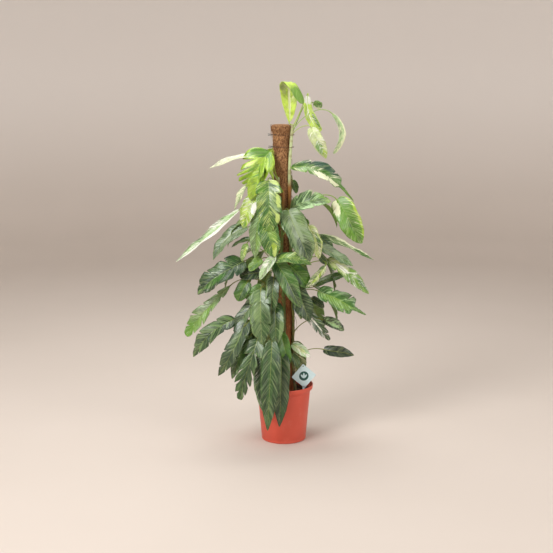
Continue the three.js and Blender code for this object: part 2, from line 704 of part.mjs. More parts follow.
function labelSolid() {
  const half = labelSide / 2;
  const corner = 4;
  const card = new THREE.Shape();
  const corners = [
    [half, half],
    [-half, half],
    [-half, -half],
    [half, -half],
  ];
  corners.forEach(([x, y], i) => {
    const [fromX, fromY] = corners[(i + 3) % 4];
    const [toX, toY] = corners[(i + 1) % 4];
    const before = [x + Math.sign(fromX - x) * corner, y + Math.sign(fromY - y) * corner];
    const after = [x + Math.sign(toX - x) * corner, y + Math.sign(toY - y) * corner];
    if (i === 0) card.moveTo(...before);
    else card.lineTo(...before);
    card.quadraticCurveTo(x, y, ...after);
  });
  card.closePath();
  const hole = new THREE.Path();
  hole.absarc(half - 7, half - 7, 2.6, 0, 2 * Math.PI, true);
  card.holes.push(hole);
  const plate = new THREE.ExtrudeGeometry(card, {
    depth: labelThickness,
    bevelEnabled: false,
    curveSegments: 4,
  });
  plate.translate(0, 0, -labelThickness / 2);
  plate.rotateZ(rad(49));
  plate.translate(1, labelCorner + half * Math.SQRT2 - 1.6, 0);
  plate.rotateX(Math.PI / 2);
  plate.rotateZ(rad(8));
  plate.translate(labelFoot.x, labelFoot.y, 0);
  return solidOf(plate).add(labelStake(0));
}

// The assembly

const finishes = {
  pot: { color: 0xbe4e3d, roughness: 0.55, metalness: 0 },
  soil: { color: 0x2a1b14, roughness: 0.95, metalness: 0 },
  sleeve: { color: 0x92643f, roughness: 0.95, metalness: 0 },
  core: { color: 0xc9a878, roughness: 0.7, metalness: 0 },
  vine: { color: 0x4f7a3a, roughness: 0.42, metalness: 0 },
  wire: { color: 0x2e3a36, roughness: 0.5, metalness: 0 },
  label: { color: 0xdcebe6, roughness: 0.4, metalness: 0 },
};

const plant = new THREE.Group();

function addPiece(name, solid, finish) {
  const mesh = new THREE.Mesh(geometryOf(solid), new THREE.MeshStandardMaterial(finishes[finish]));
  mesh.name = name;
  plant.add(mesh);
}

const leaves = plantLeaves();
addPiece("pot", potSolid(), "pot");
addPiece("soil", soilSolid(), "soil");
addPiece("pole_core", coreSolid(), "core");
addPiece("coir_sleeve", sleeveSolid(), "sleeve");
for (const name of Object.keys(stems)) addPiece(`vine_${name}`, vineSolid(name, leaves), "vine");
addPiece("tie_upper", tieSolid(1250), "wire");
addPiece("tie_lower", tieSolid(1202), "wire");
addPiece("plant_label", labelSolid(), "label");

export default plant;
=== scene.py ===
"""Looks of the potted variegated Epipremnum pinnatum, in metres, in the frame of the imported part."""

import math

import bmesh
import bpy
import numpy as np
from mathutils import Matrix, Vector, noise


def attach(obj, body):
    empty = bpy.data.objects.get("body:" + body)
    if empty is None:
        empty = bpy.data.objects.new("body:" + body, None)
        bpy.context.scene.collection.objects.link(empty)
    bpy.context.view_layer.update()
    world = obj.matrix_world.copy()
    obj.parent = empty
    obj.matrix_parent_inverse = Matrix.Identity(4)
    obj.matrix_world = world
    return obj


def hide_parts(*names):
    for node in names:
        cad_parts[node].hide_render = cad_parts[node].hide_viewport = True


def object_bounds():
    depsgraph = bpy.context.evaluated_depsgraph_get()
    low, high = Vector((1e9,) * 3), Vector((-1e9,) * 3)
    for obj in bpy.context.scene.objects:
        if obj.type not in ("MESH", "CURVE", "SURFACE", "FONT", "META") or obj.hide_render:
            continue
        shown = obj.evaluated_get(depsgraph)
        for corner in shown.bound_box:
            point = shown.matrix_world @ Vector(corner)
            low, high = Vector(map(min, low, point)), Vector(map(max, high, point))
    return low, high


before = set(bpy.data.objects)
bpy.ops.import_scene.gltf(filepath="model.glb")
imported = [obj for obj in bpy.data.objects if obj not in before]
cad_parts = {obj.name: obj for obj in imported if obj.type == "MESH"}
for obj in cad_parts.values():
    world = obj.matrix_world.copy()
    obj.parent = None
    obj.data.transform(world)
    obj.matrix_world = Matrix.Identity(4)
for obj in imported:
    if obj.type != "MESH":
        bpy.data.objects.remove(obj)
cad_low, cad_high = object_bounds()

MM = 0.001

# The part's own dimensions, in millimetres
POT_HEIGHT = 232
RIM_RADIUS = 120
RIM_BAND = 18
BODY_TOP_RADIUS = 109
BASE_RADIUS = 90
POT_WALL = 2.2
POT_FLOOR = 4
DRAIN_HOLES = 8
DRAIN_RADIUS = 5.5
DRAIN_RING = 58
SOIL_LEVEL = 206
SLEEVE_RADIUS = 34
SLEEVE_BOTTOM = 70
SLEEVE_TOP = 1290
CAP_RADIUS = 39
CAP_HEIGHT = 28
CORE_BORE = 13.1
CORE_BORE_TOP = 1240.3
STEM_RADIUS = 7
STALK_RADIUS = 1.9
WIRE_RADIUS = 1.1
LABEL_SIDE = 72
LABEL_THICKNESS = 1.2
CARD_ROUNDING = 4.2
LABEL_FOOT = (80, -52)
LABEL_CORNER = 228
LABEL_MIDDLE = LABEL_CORNER + LABEL_SIDE / 2 * math.sqrt(2) - 1.6
LABEL_TURN = math.radians(8)
VIEWING_POINT = (-30, -4900, 1600)

# The camera at the viewing point: focal length and frame width in millimetres, degrees down
LENS = 80.27
FRAME_WIDTH = 36
PITCH_DOWN = 10.65


def mix(a, b, share):
    return a + (b - a) * share


def unit(v):
    return v / np.maximum(np.linalg.norm(v, axis=-1, keepdims=True), 1e-12)


def smooth_step(x, low, high):
    share = np.clip((x - low) / (high - low), 0, 1)
    return share * share * (3 - 2 * share)


def draws_from(seed):
    """Repeatable draws between 0 and 1, the same as the part's."""
    modulus = 2147483647
    state = (seed * 7919 + 12345) % modulus

    def draw():
        nonlocal state
        state = (state * 16807) % modulus
        return state / modulus

    return draw


def pole_middle(z):
    return 9 - 22 * np.maximum(np.asarray(z, float) / SLEEVE_TOP, 0) ** 2


def beside_pole(turn, radius, z):
    angle = math.radians(turn)
    return np.array([pole_middle(z) + radius * math.sin(angle), -radius * math.cos(angle), z], float)


def sighted(place):
    """A place read on the upright plane through the pole, moved along the line of sight to its depth."""
    across, height, depth = place
    share = (depth - VIEWING_POINT[1]) / -VIEWING_POINT[1]
    return np.array([mix(VIEWING_POINT[0], across, share), depth, mix(VIEWING_POINT[2], height, share)])


def facing(turn, rise):
    flat = math.cos(math.radians(rise))
    angle = math.radians(turn)
    return np.array([flat * math.sin(angle), -flat * math.cos(angle), math.sin(math.radians(rise))])


def bezier(corners, t):
    a, b, c, d = corners
    t = np.asarray(t, float)[..., None]
    return a * (1 - t) ** 3 + 3 * b * t * (1 - t) ** 2 + 3 * c * t * t * (1 - t) + d * t**3


def bezier_ahead(corners, t):
    a, b, c, d = corners
    t = np.asarray(t, float)[..., None]
    return unit((b - a) * (1 - t) ** 2 + 2 * (c - b) * t * (1 - t) + (d - c) * t * t)


# Meshes


class Grids:
    """Grids of points that become one mesh: rows run along a shape, columns run across it."""

    def __init__(self):
        self.shapes = []
        self.places = []
        self.values = {}

    def add(self, points, **values):
        shape = points.shape[:2]
        self.shapes.append(shape)
        self.places.append(points.reshape(-1, 3))
        for key, value in values.items():
            value = np.asarray(value, float)
            deep = value.shape[-1] if key in COLOURS or key == "uv" else 1
            full = np.broadcast_to(value if deep > 1 else value[..., None], shape + (deep,))
            self.values.setdefault(key, []).append(full.reshape(-1, deep))

    def mesh(self, name, welded):
        flat = bmesh.new()
        for rows, columns in self.shapes:
            bmesh.ops.create_grid(flat, x_segments=columns - 1, y_segments=rows - 1, size=1.0)
        made = bpy.data.meshes.new(name)
        flat.to_mesh(made)
        flat.free()
        places = np.concatenate(self.places) * MM
        made.vertices.foreach_set("co", places.astype(np.float32).ravel())
        for key, parts in self.values.items():
            lay_values(made, key, np.concatenate(parts))
        if welded:
            weld(made)
        made.shade_smooth()
        return made


COLOURS = ("ground", "second", "third")


def lay_values(mesh, key, values):
    """Puts one value for each point on the mesh: a colour, a number, or a place on the flat pattern."""
    if key == "uv":
        corner = np.zeros(len(mesh.loops), np.int32)
        mesh.loops.foreach_get("vertex_index", corner)
        layer = mesh.uv_layers.new(name="pattern")
        layer.uv.foreach_set("vector", values[corner].astype(np.float32).ravel())
    elif key in COLOURS:
        opaque = np.concatenate([values, np.ones((len(values), 1))], axis=1)
        layer = mesh.attributes.new(key, "FLOAT_COLOR", "POINT")
        layer.data.foreach_set("color", opaque.astype(np.float32).ravel())
    else:
        layer = mesh.attributes.new(key, "FLOAT", "POINT")
        layer.data.foreach_set("value", values.astype(np.float32).ravel())


def weld(mesh, reach=2e-6):
    """Joins the points that fall on each other, so that seams close, and turns the skins outwards."""
    skin = bmesh.new()
    skin.from_mesh(mesh)
    bmesh.ops.remove_doubles(skin, verts=skin.verts, dist=reach)
    bmesh.ops.recalc_face_normals(skin, faces=skin.faces)
    skin.to_mesh(mesh)
    skin.free()


def full_turn(sides):
    """Angles once round, the last on the first, so that the seam closes."""
    turn = np.linspace(0, 2 * math.pi, sides + 1)
    turn[-1] = 0
    return turn


def tube(path, radii, sides, closed=True):
    """A round skin along a path, as a grid whose last column falls on its first."""
    path = np.asarray(path, float)
    ahead = unit(np.gradient(path, axis=0))
    least = np.eye(3)[np.argmin(np.abs(ahead[0]))]
    side = np.cross(ahead[0], least)
    turn = full_turn(sides)
    rings = []
    for point, forward, radius in zip(path, ahead, radii):
        side = unit(side - np.dot(side, forward) * forward)
        up = np.cross(forward, side)
        rings.append(point + radius * (np.cos(turn)[:, None] * side + np.sin(turn)[:, None] * up))
    if closed:
        rings.insert(0, np.repeat(path[:1], sides + 1, axis=0))
        rings.append(np.repeat(path[-1:], sides + 1, axis=0))
    return np.array(rings)


def along_rows(values):
    """Values given for the rows of a closed tube, with one more for each end."""
    values = np.asarray(values, float)
    return np.concatenate([values[:1], values, values[-1:]])


def place(name, mesh, paints, slot, *nodes):
    """Links a finished mesh as a piece that rides with the plant and stands for the named solids."""
    made = bpy.data.objects.new(name, mesh)
    for paint in paints:
        mesh.materials.append(paint)
    bpy.context.scene.collection.objects.link(made)
    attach(made, "root")
    if nodes:
        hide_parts(*nodes)
    return made


# Materials


def tint(code):
    """The working colour of a screen colour such as 4f8038."""
    parts = [int(code[i : i + 2], 16) / 255 for i in (0, 2, 4)]
    return tuple(p / 12.92 if p <= 0.04045 else ((p + 0.055) / 1.055) ** 2.4 for p in parts) + (1,)


def shade_of(code):
    return np.array(tint(code)[:3])


class Paint:
    """A material on the Principled shader, built up node by node."""

    def __init__(self, name, **finish):
        self.material = bpy.data.materials.new(name)
        self.material.use_nodes = True
        self.tree = self.material.node_tree
        self.shader = self.tree.nodes["Principled BSDF"]
        for key, value in finish.items():
            self.shader.inputs[key.replace("_", " ")].default_value = value

    def put(self, socket, value):
        if isinstance(value, bpy.types.NodeSocket):
            self.tree.links.new(value, socket)
        else:
            socket.default_value = value

    def node(self, kind, sockets=None, output=0, **settings):
        made = self.tree.nodes.new("ShaderNode" + kind)
        for key, value in settings.items():
            setattr(made, key, value)
        for key, value in (sockets or {}).items():
            self.put(made.inputs[key], value)
        return made.outputs[output]

    def on_piece(self):
        return self.node("TexCoord", output=3)

    def value(self, name):
        return self.node("Attribute", output=2, attribute_name=name)

    def colour(self, name):
        return self.node("Attribute", output=0, attribute_name=name)

    def sum(self, a, b):
        return self.node("Math", {0: a, 1: b}, operation="ADD")

    def times(self, a, b):
        return self.node("Math", {0: a, 1: b}, operation="MULTIPLY")

    def mix(self, amount, a, b):
        return self.node("Mix", {0: amount, 6: a, 7: b}, output=2, data_type="RGBA")

    def step(self, value, low, high):
        places = {"Value": value, "From Min": low, "From Max": high}
        return self.node("MapRange", places, interpolation_type="SMOOTHSTEP")

    def span(self, value, low, high):
        return self.node("MapRange", {"Value": value, "To Min": low, "To Max": high})

    def noise(self, where, scale, detail=3.0, roughness=0.5):
        sockets = {"Vector": where, "Scale": scale, "Detail": detail, "Roughness": roughness}
        return self.node("TexNoise", sockets)

    def part_of(self, where, axis):
        return self.node("SeparateXYZ", {"Vector": where}, output=axis)

    def stretched(self, where, x, y, z):
        return self.node("Mapping", {"Vector": where, "Scale": (x, y, z)})

    def bump(self, height, distance, strength=1.0):
        sockets = {"Height": height, "Distance": distance, "Strength": strength}
        self.put(self.shader.inputs["Normal"], self.node("Bump", sockets))

    def finish(self, colour, roughness):
        self.put(self.shader.inputs["Base Color"], colour)
        self.put(self.shader.inputs["Roughness"], roughness)
        return self.material


def pot_paint():
    """Terracotta-red plastic: even, softly glossy, with dull patches, patches of dust and fine scuffs."""
    paint = Paint("pot_plastic", Specular_IOR_Level=0.45)
    where = paint.on_piece()
    broad = paint.noise(where, 9, 3)
    fine = paint.noise(paint.stretched(where, 1, 1, 0.2), 160, 4, 0.6)
    colour = paint.mix(broad, tint("cc4a35"), tint("dc624e"))
    dusty = paint.step(paint.noise(where, 34, 5, 0.65), 0.56, 0.74)
    colour = paint.mix(paint.times(dusty, 0.2), colour, tint("da8a74"))
    paint.bump(fine, 0.0002, 0.35)
    return paint.finish(colour, paint.span(fine, 0.36, 0.56))


def soil_paint(name, dark, light):
    paint = Paint(name, Specular_IOR_Level=0.2)
    where = paint.on_piece()
    grain = paint.noise(where, 320, 6, 0.7)
    clump = paint.noise(where, 60, 4, 0.6)
    colour = paint.mix(grain, dark, light)
    colour = paint.mix(paint.step(clump, 0.5, 0.75), colour, tint("120b08"))
    paint.bump(paint.sum(grain, clump), 0.0012, 0.9)
    return paint.finish(colour, paint.span(grain, 0.85, 1.0))


def coir_paint(name, pale, deep):
    """Coconut fibre: matte warm brown, each strand a little different, redder low down."""
    paint = Paint(name, Specular_IOR_Level=0.25)
    where = paint.on_piece()
    strands = paint.noise(paint.stretched(where, 1, 1, 0.6), 220, 5, 0.7)
    patch = paint.noise(where, 26, 4, 0.6)
    colour = paint.mix(paint.step(strands, 0.36, 0.62), deep, pale)
    colour = paint.mix(paint.step(patch, 0.5, 0.8), colour, tint("5f3a24"))
    height = paint.part_of(where, 2)
    low = paint.step(height, 0.95, 0.35)
    colour = paint.mix(paint.times(low, 0.55), colour, tint("b4683c"))
    paint.bump(strands, 0.001, 0.8)
    return paint.finish(colour, paint.span(strands, 0.8, 1.0))


def core_paint():
    paint = Paint("core_wood")
    where = paint.on_piece()
    grain = paint.noise(paint.stretched(where, 1, 1, 0.06), 420, 5, 0.6)
    colour = paint.mix(grain, tint("9c7a4c"), tint("d3b385"))
    paint.bump(grain, 0.0004, 0.6)
    return paint.finish(colour, paint.span(grain, 0.6, 0.8))


def wire_paint():
    paint = Paint("tie_wire", Specular_IOR_Level=0.4)
    where = paint.on_piece()
    wear = paint.noise(where, 300, 4, 0.6)
    colour = paint.mix(paint.step(wear, 0.4, 0.7), tint("5b3a24"), tint("7d5638"))
    left = paint.part_of(where, 0)
    colour = paint.mix(paint.step(left, -0.026, -0.036), colour, tint("27343a"))
    paint.bump(wear, 0.0002, 0.5)
    return paint.finish(colour, paint.span(wear, 0.35, 0.6))


def card_paint():
    """Matte card, pale mint, with a faint mottle and slightly soiled edges low down."""
    paint = Paint("label_card", Specular_IOR_Level=0.4)
    where = paint.on_piece()
    mottle = paint.noise(where, 120, 4, 0.6)
    colour = paint.mix(mottle, tint("c3dde2"), tint("d9ebee"))
    height = paint.part_of(where, 2)
    soiled = paint.times(paint.step(height, 0.222, 0.204), 0.6)
    colour = paint.mix(soiled, colour, tint("8d7f6b"))
    paint.bump(mottle, 0.0001, 0.3)
    return paint.finish(colour, paint.span(mottle, 0.35, 0.5))


def print_paint():
    paint = Paint("label_print", Specular_IOR_Level=0.4)
    mottle = paint.noise(paint.on_piece(), 200, 3)
    colour = paint.mix(mottle, tint("17453f"), tint("245a52"))
    paint.bump(mottle, 0.00005, 0.3)
    return paint.finish(colour, paint.span(mottle, 0.3, 0.45))


def floor_paint():
    paint = Paint("studio_floor", Specular_IOR_Level=0.15)
    cloud = paint.noise(paint.on_piece(), 1.2, 2)
    colour = paint.mix(cloud, tint("d3c7bc"), tint("d9cdc3"))
    # Painted light: the curve and the wall turn paler with height, standing in for light where the lamps reach them
    # less than the floor.
    height = paint.part_of(paint.on_piece(), 2)
    colour = paint.mix(paint.step(height, 0.02, 1.4), colour, tint("f4ede7"))
    paint.bump(cloud, 0.0005, 0.1)
    return paint.finish(colour, paint.span(cloud, 0.85, 0.9))


SIDE_VEINS = 13


def blade_paint(name, underside):
    """A leaf face: its own green, broken by sharp-edged pale streaks that run out along the side veins, with painted
    shade in soft dark blotches and fine pale streaks that are partly a painted sheen.
    """
    paint = Paint(name, Specular_IOR_Level=0.4 if underside else 0.6, Coat_Weight=0.04 if underside else 0.28)
    paint.shader.inputs["Coat Roughness"].default_value = 0.24
    where = paint.node("UVMap", uv_map="pattern")
    along = paint.part_of(where, 0)
    out = paint.part_of(where, 1)
    seed = paint.times(paint.value("seed"), 97)
    mark = paint.value("mark")

    def streaks(length, width, detail):
        sockets = {0: paint.times(along, length), 1: paint.times(out, width), 2: seed}
        return paint.noise(paint.node("CombineXYZ", sockets), 1.0, detail, 0.55)

    def lines(count, reach):
        way = paint.node("Math", {0: paint.times(along, count), 1: 0.5}, operation="PINGPONG")
        return paint.step(way, reach, 0.0)

    broad, middling, fine = streaks(6, 1.0, 2), streaks(34, 0.8, 3), streaks(110, 1.3, 3)
    both = paint.sum(paint.times(broad, 0.44), paint.sum(paint.times(middling, 0.56), paint.times(fine, 0.6)))
    marked = paint.sum(paint.sum(both, mark), -0.3)
    patched = paint.sum(paint.value("field"), paint.times(paint.sum(both, -0.8), 1.7))
    second = paint.colour("second")
    ground = paint.mix(paint.step(patched, 0.42, 0.56), paint.colour("ground"), paint.colour("third"))
    # Painted shade: soft dark blotches a few centimetres across, where the green is darkened as if shaded by other
    # leaves. The darkened green is also the colour of the dark threads and fine lines below.
    shade = paint.noise(paint.on_piece(), 34, 4, 0.6)
    dark = paint.mix(0.55, ground, tint("0d1f0a"))
    colour = paint.mix(paint.step(shade, 0.4, 0.75), ground, dark)
    hairs = streaks(60, 0.7, 3)
    # Fine pale streaks along the veins: partly the leaf's own streaking, partly a painted sheen.
    pale_streaks_and_sheen = paint.times(paint.step(hairs, 0.53, 0.6), 0.46)
    colour = paint.mix(pale_streaks_and_sheen, colour, paint.mix(0.5, ground, tint("d3e2a4")))
    colour = paint.mix(paint.times(paint.step(hairs, 0.46, 0.38), 0.45), colour, dark)
    colour = paint.mix(paint.times(paint.step(marked, 0.65, 0.73), 0.4), colour, second)
    colour = paint.mix(paint.step(marked, 0.73, 0.76), colour, second)
    vein, thread = lines(SIDE_VEINS, 0.07), lines(SIDE_VEINS * 4.0, 0.3)
    colour = paint.mix(paint.times(vein, 0.27), colour, paint.mix(0.5, ground, tint("12281a")))
    colour = paint.mix(paint.times(thread, 0.1), colour, dark)
    ridge = paint.step(paint.value("rib"), 1.7, 0.6)
    colour = paint.mix(paint.times(ridge, 0.55), colour, tint("a9bd6c"))
    height = paint.sum(paint.times(vein, -0.8), paint.times(thread, -0.2))
    height = paint.sum(height, paint.times(paint.noise(paint.on_piece(), 700, 3), 0.3))
    if underside:
        colour = paint.mix(0.4, colour, paint.mix(0.5, ground, tint("b7d280")))
        height = paint.times(height, -1.0)
    paint.bump(height, 0.0009, 0.8)
    gloss = paint.span(fine, 0.5, 0.68) if underside else paint.span(fine, 0.24, 0.42)
    return paint.finish(colour, gloss)


def stem_paint():
    """Stems and stalks: their own colour point by point, with faint lengthwise streaks and corky flecks."""
    paint = Paint("stem_skin", Specular_IOR_Level=0.4)
    where = paint.on_piece()
    streak = paint.noise(paint.stretched(where, 1, 1, 0.15), 500, 4, 0.6)
    fleck = paint.step(paint.noise(where, 210, 5, 0.7), 0.62, 0.72)
    ground = paint.colour("ground")
    colour = paint.mix(paint.span(streak, 0, 0.5), ground, paint.mix(0.5, ground, tint("2f3a1c")))
    colour = paint.mix(paint.times(fleck, 0.35), colour, tint("8a6a42"))
    paint.bump(paint.sum(streak, fleck), 0.0004, 0.6)
    return paint.finish(colour, paint.span(streak, 0.4, 0.65))


# Stems

BURIED_END = 140
CLIMB = SLEEVE_RADIUS + STEM_RADIUS + 2


def rounded_way(corners, count):
    """Points along a centripetal spline through the corners, as the part's stems run."""
    corners = [np.asarray(c, float) for c in corners]
    corners = [2 * corners[0] - corners[1], *corners, 2 * corners[-1] - corners[-2]]
    spans = len(corners) - 3
    way = []
    for t in np.linspace(0, spans, count):
        i = min(int(t), spans - 1)
        f = t - i
        p0, p1, p2, p3 = corners[i : i + 4]
        d0, d1, d2 = (max(np.linalg.norm(b - a), 1e-9) ** 0.5 for a, b in ((p0, p1), (p1, p2), (p2, p3)))
        leave = ((p1 - p0) / d0 - (p2 - p0) / (d0 + d1) + (p2 - p1) / d1) * d1
        arrive = ((p2 - p1) / d1 - (p3 - p1) / (d1 + d2) + (p3 - p2) / d2) * d1
        square = -3 * p1 + 3 * p2 - 2 * leave - arrive
        cube = 2 * p1 - 2 * p2 + leave + arrive
        way.append(p1 + leave * f + square * f * f + cube * f**3)
    return np.array(way)


def climbing_stem(foot_turn, climb):
    foot = beside_pole(foot_turn, CLIMB + 14, SOIL_LEVEL)
    corners = [(foot[0], foot[1], BURIED_END + rise) for rise in (0, 24, 48, 72, 84)]
    corners += [beside_pole(turn, radius, z) for turn, radius, z in climb]
    return rounded_way(corners, 420)


STEMS = {
    "right": climbing_stem(
        40,
        [
            (42, CLIMB, 330),
            (48, CLIMB, 520),
            (38, CLIMB, 760),
            (36, CLIMB, 1000),
            (44, CLIMB, 1130),
            (58, CLIMB + 2, 1220),
            (74, CLIMB + 5, 1292),
        ],
    ),
    "left": climbing_stem(
        -75,
        [(-72, CLIMB, 330), (-66, CLIMB, 560), (-58, CLIMB, 820), (-36, CLIMB, 1000), (-20, CLIMB, 1084)],
    ),
    "front": climbing_stem(
        -14,
        [(-10, CLIMB, 330), (-4, CLIMB, 520), (-14, CLIMB, 760), (-4, CLIMB, 930), (4, CLIMB, 1036)],
    ),
    "back": climbing_stem(
        178,
        [(176, CLIMB, 330), (168, CLIMB, 560), (180, CLIMB, 820), (192, CLIMB, 1040), (186, CLIMB, 1170)],
    ),
}


def on_stem(name, z):
    way = STEMS[name]
    return np.array([np.interp(z, way[:, 2], way[:, k]) for k in (0, 1, 2)])


# Leaves

FOLD_RINGS = (0, 0.1, 0.28, 0.44, 0.56, 0.68, 0.8, 1)
FOLD_TRIM = (1, 1, 1, 0.85, 0.55, 0.4, 0.6, 1)

# Rows of points across a cut between two lobes, in half widths of the cut
CUT_ROWS = (-1.1, -1, -0.6, -0.3, -0.1, 0, 0.1, 0.3, 0.6, 1, 1.1)

FORMS = {
    "plain": dict(lobes=0, base=0.5, tip=0.9, slant=(-24, 32)),
    "narrow": dict(lobes=0, base=0.65, tip=1, slant=(0, 34)),
    "strap": dict(lobes=0, base=0.5, tip=0.5, slant=(0, 30)),
    "folded": dict(lobes=0, base=0.85, tip=0.5, slant=(10, 20)),
    "notched": dict(lobes=4, cut=0.5, gap=0.02, brim=0.92, base=0.54, tip=0.95, slant=(-10, 38)),
    "tailed": dict(lobes=4, cut=0.5, gap=0.02, brim=0.92, base=0.5, tip=0.7, slant=(-6, 34), tail=0.3),
    "late": dict(lobes=5, cut=0.6, gap=0.024, brim=0.88, base=1.1, tip=0.8, slant=(0, 42)),
    "comb": dict(lobes=6, cut=0.86, gap=0.03, brim=0.86, base=0.36, tip=0.9, slant=(24, 54)),
    "fingered": dict(lobes=5, cut=0.8, gap=0.034, brim=0.8, base=0.46, tip=0.8, slant=(6, 56)),
}

GREENS = {
    "limebright": shade_of("d3f552"),
    "lime": shade_of("a9cb2e"),
    "grass": shade_of("649a1d"),
    "grassdeep": shade_of("4f8213"),
    "mint": shade_of("b4d79a"),
    "creamgreen": shade_of("d4e19c"),
    "leaf": shade_of("40741f"),
    "deep": shade_of("21431b"),
    "night": shade_of("152b14"),
    "moss": shade_of("315a20"),
    "sage": shade_of("78955a"),
    # The pale grey-green below stands in for a painted sheen where a leaf catches the light.
    "silver": shade_of("93a682"),
    "slate": shade_of("3f583c"),
    "teal": shade_of("29533a"),
    "fresh": shade_of("74a035"),
    "bone": shade_of("e6e9c8"),
    "olive": shade_of("5c6b22"),
    "greygreen": shade_of("597848"),
    "palelime": shade_of("c2d777"),
    "white": shade_of("f4f4e8"),
    "cream": shade_of("edefc6"),
}

